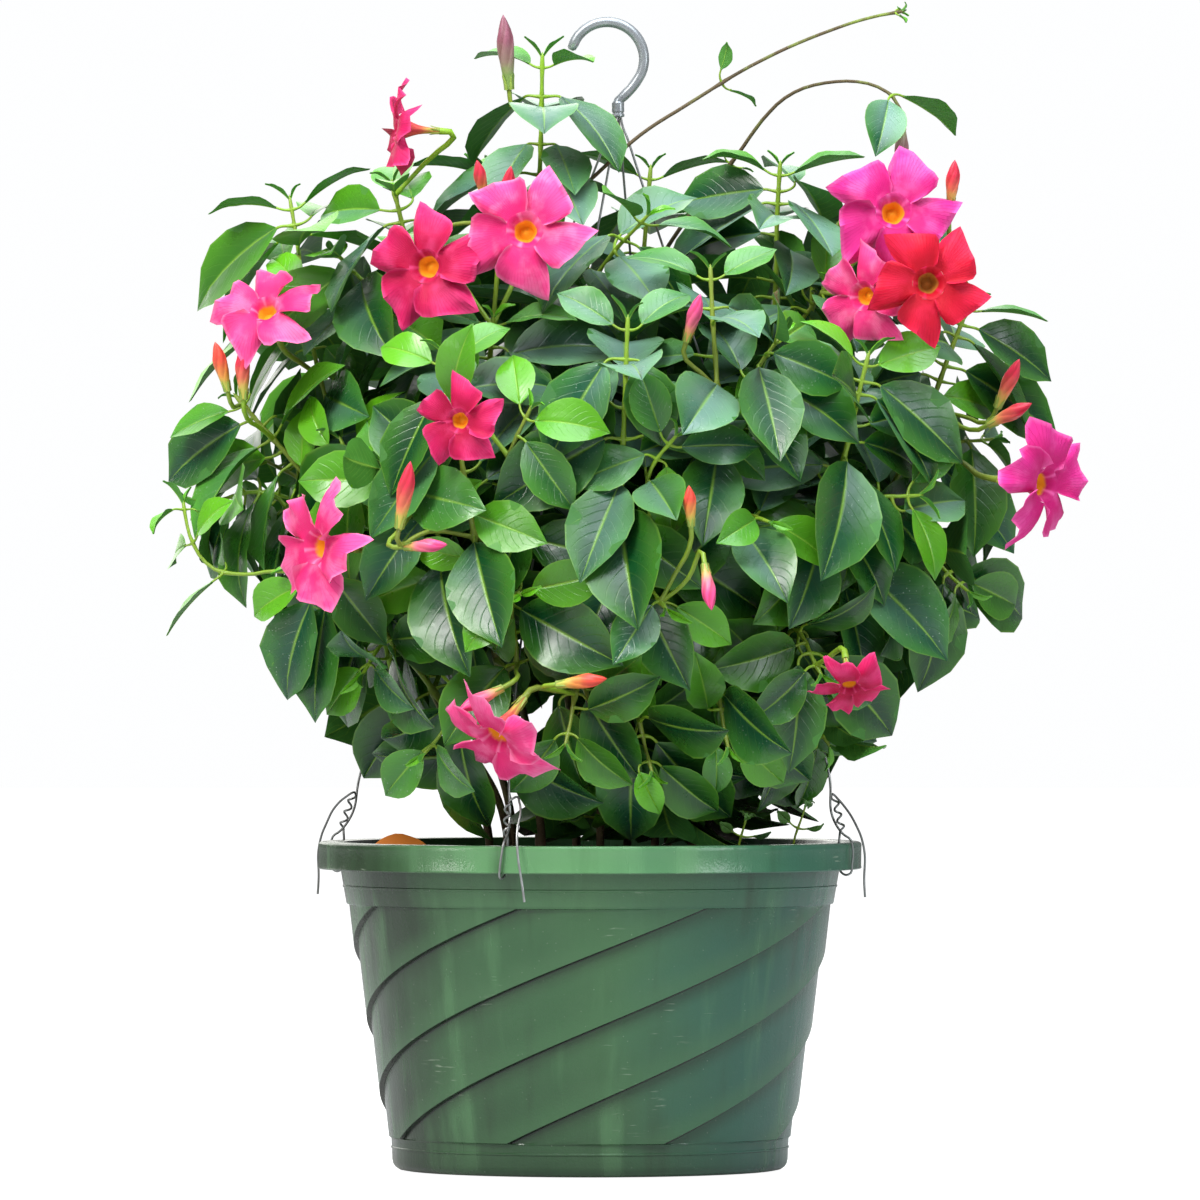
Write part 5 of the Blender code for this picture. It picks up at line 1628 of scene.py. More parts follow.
class Crowd:
    """Everything placed so far, so that what comes next can keep clear of it."""

    def __init__(self) -> None:
        """Starts empty."""
        self.bodies: list[Any] = []

    def add(self, skin: Skin, label: str) -> None:
        """Adds a body under a label."""
        low, high = self.box(skin)
        self.bodies.append((low, high, skin.tree(), label))

    @staticmethod
    def box(skin: Skin) -> tuple[list[float], list[float]]:
        """The lowest and the highest corner of a skin."""
        low = [min(point[k] for point in skin.points) for k in range(3)]
        high = [max(point[k] for point in skin.points) for k in range(3)]
        return low, high

    def hit(self, skin: Skin, leave_out: Sequence[str] = ()) -> bool:
        """Whether the skin crosses a body whose label isn't left out."""
        low, high = self.box(skin)
        tree = None
        for other_low, other_high, other, label in self.bodies:
            if any(low[k] > other_high[k] or high[k] < other_low[k] for k in range(3)):
                continue
            if label in leave_out:
                continue
            tree = tree or skin.tree()
            if tree.overlap(other):
                return True
        return False


class PlainBodies:
    """The plain solids of petals, buds, leaves and stems, for keeping others clear of them."""

    # Each column of a lobe: its share of the turn, its reach half way and at the edge, its lift
    lobe_columns = ((0.0, 14.0, 19.0, 0.0), (0.14, 23.0, 32.0, 2.5), (0.86, 25.0, 37.0, -3.0))
    few_stations = 45.0
    many_stations = 90.0
    leaf_thickness = 0.55
    leaf_clearance = 0.45
    ring_step = 60.0
    ring_turn = math.radians(32)

    def bloom(self, flower: Flower) -> Skin:
        """A narrow tube that opens into a throat and five lobes.

        Args:
            flower: The bloom.

        Returns:
            Its plain body.
        """
        base, aim, u, v = flower_frame(flower, bloom_base(flower), BLOOM_UP)

        def ring(height: float, reach: float = 0.0, half_way: bool = False) -> Ring:
            """One ring of the body."""
            points = []
            for i in range(5):
                for share, middle, edge, lift in self.lobe_columns:
                    angle = flower.roll + (i + share) * math.tau / 5
                    radius = reach or (middle if half_way else edge)
                    rise = height if reach else height + lift * (0.5 if half_way else 1.0)
                    points.append(base + (aim * rise + spoke(u, v, angle) * radius) * flower.size)
            return points

        skin = Skin()
        mouth = BLOOM_TUBE
        rings = [
            ring(0, 2.3),
            ring(18, 4.0),
            ring(mouth - 1.5, 10.6),
            ring(mouth - 2.0, half_way=True),
            ring(mouth - 1.0),
            ring(mouth - 0.4, 9.4),
        ]
        indices = [skin.add(points) for points in rings]
        skin.loft(indices, tip=skin.add([base + aim * 17 * flower.size])[0])
        return skin

    def bud(self, flower: Flower) -> Skin:
        """A furled spindle.

        Args:
            flower: The bud.

        Returns:
            Its plain body.
        """
        base, aim, u, v = flower_frame(flower, bud_base(flower), BUD_SIDE)
        girth = bud_girth(flower)
        skin = Skin()
        rings = []
        for share, wide in ((0.0, 0.42), (0.3, 0.72), (0.6, 1.0), (0.82, 0.62)):
            centre = base + aim * flower.size * share
            rings.append(skin.add(circle(centre, u, v, girth * wide, 5, share * 1.2)))
        skin.loft(rings, tip=skin.add([Vector(flower.place)])[0])
        return skin

    def leaf(self, leaf: Leaf) -> Skin:
        """A closed blade a little thicker than the leaf.

        Args:
            leaf: The leaf.

        Returns:
            Its plain body.
        """
        spare = self.leaf_clearance
        side = leaf.normal.cross(leaf.along)
        stations: tuple[float, ...] = (0.42,)
        if leaf.length >= self.few_stations:
            stations = (0.32, 0.68) if leaf.length < self.many_stations else (0.22, 0.5, 0.8)
        rings = []
        for t in (0.0, *stations):
            centre, upward = leaf.rib(t)
            if t == 0:
                half, thick = 0.9, 0.75
            else:
                half, thick = leaf.width / 2 * blade_width(t) * 1.04, self.leaf_thickness
            edge = side * (half + spare) * math.cos(leaf.fold)
            lift = upward * half * math.sin(leaf.fold)
            skin_off = upward * (thick + spare)
            rings.append(
                [centre + edge + lift, centre + skin_off, centre - edge + lift, centre - skin_off]
            )
        tip, _ = leaf.rib(1.0)
        skin = Skin()
        start = skin.add([mix(leaf.root, leaf.base, 0.28)])[0]
        indices = [skin.add(ring) for ring in rings]
        skin.loft(indices, start, skin.add([tip + (tip - leaf.base).normalized() * spare])[0])
        return skin

    def stem(self, stem: Stem, spare: float, start: float = 0.0) -> Skin:
        """A plain closed tube along a stem.

        Args:
            stem: The stem.
            spare: How much wider it is than the stem.
            start: How far along it begins.

        Returns:
            Its plain body.
        """
        length = stem.route.length
        if stem.flat_end:
            first = stem.first_ring
            turn = stem.route.at(first)[1].angle(stem.route.at(length)[1])
            pieces = math.ceil(max((length - first) / self.ring_step, turn / self.ring_turn))
            between = [first + (length - first) * i / pieces for i in range(1, pieces)]
            distances = sorted({d for d in [start, first, *between, length] if d >= start})
        else:
            count = max(2, math.ceil((length - start) / 12))
            distances = [mix(start, length, i / count) for i in range(count + 1)]
        skin = Skin()
        rings = []
        for distance in distances:
            point, _, u, v = stem.route.at(distance)
            ring = circle(point, u, v, stem.radius(distance) + spare, 4, math.radians(-45))
            rings.append(skin.add(ring))
        skin.loft(rings)
        return skin


@dataclass
class Layout:
    """Lays out every stem, stalk and leaf, each clear of what was there before it."""

    mix: PottingMix
    hanger: Hanger
    centre: Vector = field(default_factory=lambda: Vector((18, 0, 390)))
    span: Vector = field(default_factory=lambda: Vector((250, 205, 215)))
    internode: float = 38.0
    leaf_length: float = 74.0
    leaf_width: float = 0.62
    young_leaf: tuple[float, float] = (0.58, 0.9)
    petiole: float = 9.0
    stem_thick: tuple[float, float] = (2.5, 1.15)
    shoot_thick: tuple[float, float] = (1.5, 0.95)
    vine_thick: tuple[float, float] = (1.3, 0.95)
    seedling_thick: tuple[float, float] = (0.8, 0.5)
    root_depth: float = 14.0
    seedling_depth: float = 6.0
    leaf_tries: int = 34
    stalk_starts: int = 24
    bow_turn: float = 2.4
    bow_step: float = 2.2
    root_sink: float = 0.7
    climb: tuple[float, ...] = (0.9, 0.6, 0.35, 0.2, 0.1)
    droop: tuple[float, ...] = (0.0, 0.15, 0.35, 0.5, 0.6)
    bare_depth: float = 0.55
    front_leaves: float = -60.0
    clearance: float = 0.7
    neck: float = 1.2
    flank: float = 105.0
    open_below: float = 305.0
    open_left_of: float = -12.0
    node_space: float = 6.0

    def __post_init__(self) -> None:
        """Starts with nothing placed."""
        self.crowd = Crowd()
        self.plain = PlainBodies()
        self.stems: dict[str, Stem] = {}
        self.leaves: list[Leaf] = []
        self.lost: list[str] = []

    def clear_hanger(self) -> None:
        """Keeps the plant clear of the wires, the hook, its bend and the pot."""
        hanger, pot = self.hanger, self.hanger.pot
        for name, wire in hanger.wires.items():
            self.crowd.add(tube(hanger.wire_points(*wire), hanger.wire + 0.6, 4), f"wire_{name}")
        self.crowd.add(tube(hanger.hook_points(), hanger.tube_radius + 1, 6), "hook")
        self.crowd.add(tube(hanger.arm_space(), hanger.bend - hanger.tube_radius, 8), "hook")
        wall = Skin()
        lip = pot.inner_radius(pot.rim_top) - 0.8
        top = self.mix.edge + self.mix.mound + 1.5
        indices = []
        for radius, height in (
            (0, pot.skirt_bottom - 30), (pot.rim_radius + 0.8, pot.skirt_bottom - 30),
            (pot.rim_radius + 0.8, pot.rim_top + 0.8), (lip, pot.rim_top + 0.8),
            (lip, self.mix.edge + 2), (60, top), (1, top),
        ):
            bearings = (i * math.tau / 24 for i in range(24))
            indices.append(wall.add(rim_point(radius + 0.01, b, height) for b in bearings))
        for lower, upper in zip(indices, indices[1:]):
            wall.bridge(lower, upper)
        self.crowd.add(wall, "pot")

    def grow_axes(self) -> None:
        """Stands the main stems and the seedlings in the mix."""
        for name, points in AXES.items():
            x, y = points[0]
            height = self.mix.height(x, y)
            foot = [(x, y, height - self.root_depth), (x, y, height - 5), (x, y, height + 4)]
            route = Route([*foot, *points[1:]])
            stem = Stem(name, route, self.stem_thick, name, first_ring=self.root_depth + 3)
            self.stems[name] = stem
            self.crowd.add(self.plain.stem(stem, self.clearance), name)
        for name, (foot, tip) in SEEDLINGS.items():
            height = self.mix.height(*foot)
            points = [(*foot, height - self.seedling_depth), (*foot, height + 3), tip]
            stem = Stem(name, Route(points, 3), self.seedling_thick, name)
            stem.first_ring = self.seedling_depth + 2
            self.stems[name] = stem

    def clear_flowers(self) -> None:
        """Keeps the plant clear of every bloom and bud."""
        for flower in BLOOMS:
            self.crowd.add(self.plain.bloom(flower), flower.name)
        for flower in BUDS:
            self.crowd.add(self.plain.bud(flower), flower.name)

    def node_distances(self, stem: Stem) -> list[float]:
        """How far along its nodes are, where leaf pairs and shoots leave it, tip first."""
        lowest = 66 if stem.parent is None else 18
        distances = []
        distance = stem.route.length - 7
        step = 15.0
        while distance > lowest:
            distances.append(distance)
            step = min(self.internode, step + 11)
            distance -= step
        return distances

    def sprout(
        self,
        name: str,
        parent: Stem,
        share: float,
        points: Sequence[Any],
        thick: tuple[float, float],
        flat_end: bool = False,
        tries: int = 16,
        holds: str = "",
    ) -> Stem | None:
        """A side shoot or stalk, bowed aside until it is clear of what stands there.

        Args:
            name: The shoot's name.
            parent: The stem that it leaves.
            share: How far up the stem it is wanted.
            points: The points that it grows through.
            thick: Its radius at its foot and at its tip.
            flat_end: Whether it ends at a flower.
            tries: How many ways to try.
            holds: The flower that it may touch.

        Returns:
            The shoot, or None.
        """
        wanted = parent.route.length * share
        open_nodes = [d for d in self.node_distances(parent) if parent.free_sides(d)]
        distance = min(open_nodes, key=lambda d: abs(d - wanted))
        origin, _, u, v = parent.route.at(distance)
        heading = (Vector(points[0]) - origin).normalized()
        faces = (u, v, u * -1, v * -1)
        for attempt in range(tries):
            turn = attempt * self.bow_turn
            bow = perpendicular(spoke(u, v, turn), heading) * self.bow_step * attempt
            route_points = [Vector(point) for point in points]
            if len(points) == 2:
                route_points.insert(0, mix(origin, route_points[0], 0.5) + bow)
            else:
                route_points[len(points) // 2] += bow
            way = route_points[0] - origin
            side = max(parent.free_sides(distance), key=lambda k: faces[k].dot(way))
            start = origin + faces[side] * parent.radius(distance) * self.root_sink
            stem = Stem(name, Route([start, *route_points]), thick, parent.tree, parent)
            stem.flat_end = flat_end
            body = self.plain.stem(stem, self.clearance, start=min(8.0, stem.route.length * 0.3))
            if not self.crowd.hit(body, leave_out=(holds,)):
                self.stems[name] = stem
                self.crowd.add(self.plain.stem(stem, self.clearance, start=1.0), name)
                parent.children.append((distance, side, stem))
                return stem
        return None

    def grow_shoots(self) -> None:
        """Grows every side shoot and vine."""
        counts: dict[str, int] = {}
        for parent, share, tip, rise in SHOOTS:
            counts[parent] = counts.get(parent, 0) + 1
            name = f"{parent}_{counts[parent]}"
            stem = self.stems[parent]
            origin, tangent, _, _ = stem.route.at(stem.route.length * share)
            end = Vector(tip)
            near = origin + tangent * 9 + perpendicular(end - origin, tangent) * 16
            middle = mix(origin, end, 0.58) + UP * rise
            if not self.sprout(name, stem, share, [near, middle, end], self.shoot_thick):
                self.lost.append(name)
        for vine in VINES:
            points = list(vine.points)
            for bud in BUDS:
                if bud.name == vine.bud:
                    aim = bud.heading
                    end = bud_base(bud) - aim * GAP
                    points += [end - aim * 6, end]
            stem = self.stems[vine.stem]
            if not self.sprout(
                vine.name, stem, vine.share, points, self.vine_thick, bool(vine.bud), holds=vine.bud
            ):
                self.lost.append(vine.name)

    def nearby_nodes(self, target: Vector) -> list[tuple[Stem, float]]:
        """Where a stalk to the target may leave: stems with a share along each, best first."""
        starts: list[Any] = []
        for stem in self.stems.values():
            if stem.flat_end or stem.name in SEEDLINGS:
                continue
            for distance in self.node_distances(stem):
                if not stem.free_sides(distance):
                    continue
                point, tangent, _, _ = stem.route.at(distance)
                away = target - point
                backwards = max(0.0, -tangent.dot(away.normalized()))
                score = abs(away.length - 20) + 25 * backwards
                starts.append((score, len(starts), stem, distance / stem.route.length))
        return [(stem, share) for _, _, stem, share in sorted(starts)[: self.stalk_starts]]

    def grow_stalks(self) -> None:
        """Grows a stalk to every flower."""
        for flower in (*BLOOMS, *BUDS):
            if any(flower.name == vine.bud for vine in VINES):
                continue
            bloom = flower in BLOOMS
            aim = flower.heading
            end = (bloom_base(flower) if bloom else bud_base(flower)) - aim * GAP
            points = [end - aim * 9, end]
            thick = (1.2, 2.0 if bloom else 1.5)
            name = "stalk_" + flower.name
            if not any(
                self.sprout(name, parent, share, points, thick, flat_end=True, tries=5)
                for parent, share in self.nearby_nodes(end - aim * 9)
            ):
                self.lost.append(name)

    def depth(self, point: Vector) -> float:
        """How far out in the canopy a point is: 0 at its centre, 1 at its outside."""
        away = point - self.centre
        return math.sqrt(sum((away[k] / self.span[k]) ** 2 for k in range(3)))

    def leaf_spots(self, stem: Stem) -> list[tuple[float, int, float]]:
        """Each leaf pair's distance along the stem, its first side and its length, tip first."""
        given: dict[str, Any] = {vine.name: vine.pairs for vine in VINES}
        given.update((name, SEEDLING_PAIRS) for name in SEEDLINGS)
        if stem.name in given:
            whole = stem.route.length
            pairs = enumerate(given[stem.name])
            return [(whole * share, i % 2, length) for i, (share, length) in pairs]
        if stem.flat_end:
            return []
        spots = []
        for order, distance in enumerate(self.node_distances(stem)):
            point = stem.route.at(distance)[0]
            most = 4 if stem.parent is None and point.y < self.front_leaves else 3
            if order == most or self.depth(point) < self.bare_depth:
                break
            taken = [side for where, side, _ in stem.children if where == distance]
            turn = (taken[0] + 1) % 2 if taken else order % 2
            young = self.young_leaf[order] if order < len(self.young_leaf) else 1.0
            spots.append((distance, turn, self.leaf_length * young))
        return spots

    def grow_leaves(self) -> None:
        """Places every leaf pair."""
        for stem in list(self.stems.values()):
            for order, (distance, turn, length) in enumerate(self.leaf_spots(stem)):
                kept = {}
                for side in (turn, turn + 2):
                    leaf = self.place_leaf(stem, distance, side, order, length)
                    if leaf:
                        kept[side] = leaf
                        self.leaves.append(leaf)
                if kept:
                    stem.leaf_nodes.append((distance, kept))

    def place_leaf(
        self,
        stem: Stem,
        distance: float,
        side: int,
        order: int,
        length: float,
        toward: Vector | None = None,
    ) -> Leaf | None:
        """The first lie of this leaf that crosses nothing.

        Args:
            stem: The stem that it leaves.
            distance: How far along the stem it leaves.
            side: Which of the stem's four sides it leaves.
            order: Its pair, counted from the tip.
            length: The length of its blade before chance.
            toward: What it faces, or None to face outward.

        Returns:
            The leaf, or None.
        """
        rng = random.Random(f"{stem.name} {order} {side}")
        point, tangent, u, v = stem.route.at(distance)
        face = (u, v, u * -1, v * -1)[side]
        root = point + face * stem.radius(distance) * self.root_sink
        size = length * rng.uniform(0.86, 1.12)
        away = point - self.centre
        outward = Vector([away[k] / self.span[k] ** 2 for k in range(3)]).normalized()
        light = (outward * 0.8 + UP * 0.2).normalized()
        if toward:
            light = (toward + outward * 0.3).normalized()
        age = min(order, 4)
        droop = self.droop[age] * rng.uniform(0.6, 1.3)
        droop += 0.45 * max(0.0, min(1.0, (430 - point.z) / 200))
        lean = face + tangent * self.climb[age]
        lean = lean - light * lean.dot(light) * 0.45 - UP * droop
        lean.normalize()
        swing = rng.choice((-1, 1))
        label = f"leaf {stem.name}"
        own = [label] + [other.name for other in self.stems.values() if other.tree == stem.tree]
        for attempt in range(self.leaf_tries):
            turn = swing * (-1) ** attempt * math.radians(11) * ((attempt + 1) // 2)
            shrink = 1 - 0.018 * attempt
            along = self.turned(lean, light, turn)
            along = (along - UP * 0.06 * (attempt % 3)).normalized()
            petiole_way = (face * 1.1 + along * 0.7 + tangent * 0.25).normalized()
            if along.dot(face) < -0.35:
                continue
            stretch = rng.uniform(0.85, 1.35)
            base = root + petiole_way * self.petiole * stretch * (0.6 + 0.4 * size / 66)
            chance = Vector([rng.uniform(-0.25, 0.25) for _ in range(3)])
            normal = perpendicular(light + chance, along)
            leaf = Leaf(
                stem, root, face, base, along, normal, size * shrink,
                size * shrink * self.leaf_width * rng.uniform(0.92, 1.08),
                math.radians(rng.uniform(14, 46)),
                math.radians(rng.uniform(6, 22)),
            )
            body = self.plain.leaf(leaf)
            neck = tube([root, mix(root, base, 0.7)], self.neck, 4)
            if not self.crowd.hit(body) and not self.crowd.hit(neck, own):
                self.crowd.add(body, label)
                self.crowd.add(neck, label)
                return leaf
        return None

    def fill_in(self) -> None:
        """Places the further leaves that crowd the shade between the first ones."""
        first = len(self.leaves)
        leafy = [
            stem
            for stem in self.stems.values()
            if not stem.flat_end and not stem.name.startswith(("vine", "seedling"))
        ]
        for length, step, order in ((68.0, 14.0, 20), (48.0, 9.0, 60)):
            for stem in leafy:
                self.fill_stem(stem, length, step, order)
        for stem in leafy:
            tip = stem.route.at(stem.route.length)[0]
            if abs(tip.x) > self.flank:
                toward = Vector((0.25 * tip.x / 200, -1.0, 0.45))
                self.fill_stem(stem, 72.0, 6.5, 200, toward)
        LOG.info("%d leaves added in the shade", len(self.leaves) - first)

    def fill_stem(
        self, stem: Stem, length: float, step: float, order: int, toward: Vector | None = None
    ) -> None:
        """Places further leaves along one stem.

        Args:
            stem: The stem.
            length: How long their blades are before chance.
            step: The space between the places that are tried.
            order: The number of the first pair tried.
            toward: What they face, or None to face outward.
        """
        lowest = 34 if stem.parent is None else 12
        distance = stem.route.length - 10
        while distance > lowest:
            order += 1
            if all(abs(distance - where) > self.node_space for where, _ in stem.leaf_nodes):
                kept = {}
                for side in (order % 2, order % 2 + 2):
                    leaf = self.place_leaf(stem, distance, side, order, length, toward)
                    if leaf and (
                        leaf.base.z >= self.open_below or leaf.base.x >= self.open_left_of
                    ):
                        leaf.shaded = True
                        kept[side] = leaf
                        self.leaves.append(leaf)
                if kept:
                    stem.leaf_nodes.append((distance, kept))
            distance -= step

    @staticmethod
    def turned(vector: Vector, axis: Vector, angle: float) -> Vector:
        """The vector turned about an axis."""
        cos, sin = math.cos(angle), math.sin(angle)
        return vector * cos + axis.cross(vector) * sin + axis * axis.dot(vector) * (1 - cos)

    def lay_out(self) -> None:
        """Places everything in its order."""
        self.clear_hanger()
        self.grow_axes()
        self.clear_flowers()
        self.grow_shoots()
        self.grow_stalks()
        self.grow_leaves()
        LOG.info("%d leaves, left out: %s", len(self.leaves), ", ".join(self.lost) or "none")
        self.fill_in()


# Fine leaves and stems


class Cover(IntEnum):
    """Which finish a face of a leafy stem takes."""

    BARK = 0
    BLADE = 1


@dataclass
class Foliage:
    """Draws the fine stems, petioles and blades of a laid-out plant."""

    layout: Layout
    stations: tuple[float, ...] = (
        0.0, 0.03, 0.08, 0.15, 0.24, 0.34, 0.45, 0.56, 0.67, 0.77, 0.86, 0.93, 0.975
    )
    columns: tuple[float, ...] = (0.07, 0.26, 0.5, 0.75)
    shaded_stations: tuple[float, ...] = (0.0, 0.07, 0.2, 0.38, 0.56, 0.74, 0.88, 0.96)
    shaded_columns: tuple[float, ...] = (0.08, 0.5)
    blade: float = 0.28
    rib_depth: float = 0.55
    ring_space: float = 6.5
    swelling: float = 0.28
    tip_length: float = 2.5
    node_width: float = 2.4
    petiole_radii: tuple[float, ...] = (1.5, 1.2, 0.98, 0.9, 0.88, 0.86, 0.86, 0.86, 0.5)
    stem_sides: int = 10
    shoot_sides: int = 8

    def grow_blade(self, skin: Skin, leaf: Leaf, rng: random.Random) -> list[int]:
        """Adds a blade: a grooved, gently puckered sheet with a rib under it.

        Args:
            skin: The skin to add it to.
            leaf: The leaf.
            rng: Where its waves come from.

        Returns:
            The first ring of the blade.
        """
        skin.finish = Cover.BLADE
        across = leaf.normal.cross(leaf.along)
        phase, waves = rng.uniform(0, math.tau), rng.uniform(1.6, 2.6)
        wave = rng.uniform(0.4, 1.5) * min(1.0, leaf.length / 60)
        twist = rng.uniform(-0.16, 0.16)
        hook = rng.uniform(-0.4, 1.8)
        columns = self.shaded_columns if leaf.shaded else self.columns
        shares = [-1.0, *(-c for c in reversed(columns)), 0.0, *columns, 1.0]
        rings = []
        for t in self.shaded_stations if leaf.shaded else self.stations:
            centre, upward = leaf.rib(t)
            half = max(0.9, leaf.width / 2 * blade_width(t) * 1.02)
            turned = twist * t * t
            side = across * math.cos(turned) + upward * math.sin(turned)
            lift_way = upward * math.cos(turned) - across * math.sin(turned)
            fold = math.sin(leaf.fold)
            flat = math.cos(leaf.fold)
            drop = upward * hook * ease(t, 0.7, 1.0) * -1
            waving = wave * math.sin(math.pi * t)
            thin = mix(1.0, 0.6, t)
            top, under, lays, under_lays = [], [], [], []
            for s in shares:
                rise = half * fold * abs(s) ** 1.25
                ripple = math.sin(waves * math.tau * t + phase + (1.7 if s > 0 else 0.0))
                rise += waving * ripple * s * s
                at = centre + side * half * flat * s + lift_way * rise + drop
                thick = self.blade * (1 - s**4)
                groove = 0.3 * thin if s == 0 else 0.0
                if t == 0:
                    thick, groove = 0.8 * math.sqrt(1 - s * s), 0.0
                top.append(at + lift_way * (thick - groove))
                lays.append((s, t, 1.0 - s**8))
                if abs(s) < 1:
                    ridge = self.rib_depth * thin if s == 0 and t > 0 else 0.0
                    under.append(at - lift_way * (thick + ridge))
                    under_lays.append((s, t, s**8 - 1.0))
            ring = top[::-1] + under
            rings.append(skin.add(ring, lays[::-1] + under_lays))
        for lower, upper in zip(rings, rings[1:]):
            skin.bridge(lower, upper)
        tip, upward = leaf.rib(1.0)
        tip = tip - upward * hook
        skin.fan(rings[-1], skin.add([tip], [(0.0, 1.0, 0.0)])[0])
        return rings[0]

    def grow_leaf(self, skin: Skin, leaf: Leaf, rng: random.Random) -> None:
        """Adds a leaf with its bowed petiole.

        Args:
            skin: The skin to add it to.
            leaf: The leaf.
            rng: Where its age and waves come from.
        """
        age = min(1.0, max(0.0, (leaf.length - 30) / 42)) ** 0.8
        # Painted backlight: leaves at the upper left are made younger, so a brighter green, as if
        # lit through from behind
        painted_backlight = 0.45 * ease(-leaf.base.x, 30, 160) * ease(leaf.base.z, 300, 420)
        age *= rng.uniform(0.55, 1.2) - painted_backlight
        age = min(1.0, max(0.0, age))
        # Painted shade: how low the leaf hangs, which its finish darkens
        low = 1 - ease(leaf.base.z, 230, 420)
        skin.tone = (age, rng.random(), low)
        self.grow_blade(skin, leaf, rng)
        skin.finish = Cover.BARK
        skin.tone = (0.12 * age, rng.random() * 0.5, 0.0)
        span = (leaf.base - leaf.root).length
        start = leaf.root - leaf.face * 0.6
        out = leaf.root + leaf.face * span * 0.45
        back = leaf.base - leaf.along * span * 0.4
        points = []
        for i in range(8):
            t = i / 7
            one, two = mix(start, out, t), mix(out, back, t)
            three = mix(back, leaf.base, t)
            points.append(mix(mix(one, two, t), mix(two, three, t), t))
        points.append(leaf.base + leaf.along * 1.5)
        scale = 0.55 + 0.45 * min(1.0, leaf.length / 66)
        tube(points, [scale * wide for wide in self.petiole_radii], 7, skin)

    def grow_stem(self, skin: Skin, stem: Stem) -> None:
        """Adds a stem with all that it carries.

        Args:
            skin: The skin to add it to.
            stem: The stem.
        """
        rng = random.Random(f"fine {stem.name}")
        length = stem.route.length
        places = [where for where, _ in stem.leaf_nodes] + [where for where, _, _ in stem.children]
        count = max(6, round(length / self.ring_space))
        distances = sorted({length * i / count for i in range(count + 1)} | set(places))
        main = stem.parent is None and stem.name in AXES
        sides = self.stem_sides if main else self.shoot_sides
        skin.finish = Cover.BARK
        luck = rng.random()
        rings = []
        for distance in distances:
            point, _, u, v = stem.route.at(distance)
            radius = stem.radius(distance)
            for where in places:
                away = (distance - where) / self.node_width
                radius *= 1 + self.swelling * math.exp(-(away**2))
            if stem.parent is not None:
                radius *= 1 + 0.5 * math.exp(-distance / 2.5)
            if stem.flat_end and stem.name.startswith("stalk_bloom"):
                radius *= 1 + 0.1 * ease(distance, length - 6, length)
            age = 0.1
            if main:
                age = mix(1.05, 0.2, min(1.0, distance / length * 1.5))
            elif not stem.flat_end:
                age = mix(0.45, 0.1, min(1.0, distance / length * 1.6))
            if stem.name in ("vine_top", "vine_arch"):
                age = mix(1.05, 0.68, distance / length)
            skin.tone = (age, luck, 0.0)
            lays = [(k / sides, distance / 100, 0.0) for k in range(sides)]
            rings.append(skin.add(circle(point, u, v, radius, sides), lays))
        if stem.flat_end:
            skin.loft(rings)
        else:
            point, tangent, _, _ = stem.route.at(length)
            skin.loft(rings, tip=skin.add([point + tangent * self.tip_length])[0])
            self.grow_tip(skin, stem, rng)
        for _, leaves in stem.leaf_nodes:
            for leaf in leaves.values():
                self.grow_leaf(skin, leaf, rng)
        for _, _, child in stem.children:
            self.grow_stem(skin, child)

    def grow_tip(self, skin: Skin, stem: Stem, rng: random.Random) -> None:
        """Adds the small leaves that unfold at a growing tip.

        Args:
            skin: The skin to add them to.
            stem: The stem.
            rng: Where their sizes come from.
        """
        point, tangent, u, _ = stem.route.at(stem.route.length)
        small = 5.0 if stem.name in SEEDLINGS or stem.name == "vine_top" else 15.0
        for k in range(2):
            face = u * (-1) ** k
            along = (tangent * 1.0 + face * rng.uniform(0.35, 0.75)).normalized()
            normal = perpendicular(tangent - face * 0.8, along)
            length = small * rng.uniform(0.7, 1.25)
            base = point + face * 0.5
            leaf = Leaf(stem, point, face, base, along, normal, length, length * 0.36, 0.5, 0.5)
            skin.tone = (0.0, rng.random() * 0.4, 0.0)
            ring = self.grow_blade(skin, leaf, rng)
            skin.face(*reversed(ring))

    def dress(self, effects: Effects) -> None:
        """Builds every leafy stem and seats it in the frame."""
        bark = StemFinish("stem_skin", (0.26, 0.48, 0.02), (0.11, 0.075, 0.035)).material(effects)
        blade = BladeFinish(
            "glossy_leaf",
            (0.13, 0.44, 0.012), (0.004, 0.058, 0.012), (0.016, 0.1, 0.052), (0.06, 0.23, 0.025),
            (0.27, 0.5, 0.05),
        ).material(effects)
        for name in AXES:
            skin = Skin()
            self.grow_stem(skin, self.layout.stems[name])
            skin_name = f"leafy_stem_{name}"
            fit_piece(skin.put(skin_name, [bark, blade], 60), "foliage", f"stem_{name}")
        weed = BladeFinish(
            "seedling_leaf",
            (0.1, 0.26, 0.03), (0.03, 0.12, 0.02), (0.06, 0.16, 0.05), (0.1, 0.22, 0.06),
            (0.2, 0.34, 0.1),
            sky_sheen=(0.12, 0.25, 0.08),
            roughness=0.5,
            speckled=0.0,
        ).material(effects)
        for name in SEEDLINGS:
            skin = Skin()
            self.grow_stem(skin, self.layout.stems[name])
            fit_piece(skin.put(f"sprouted_{name}", [bark, weed], 60), "seedling", name)


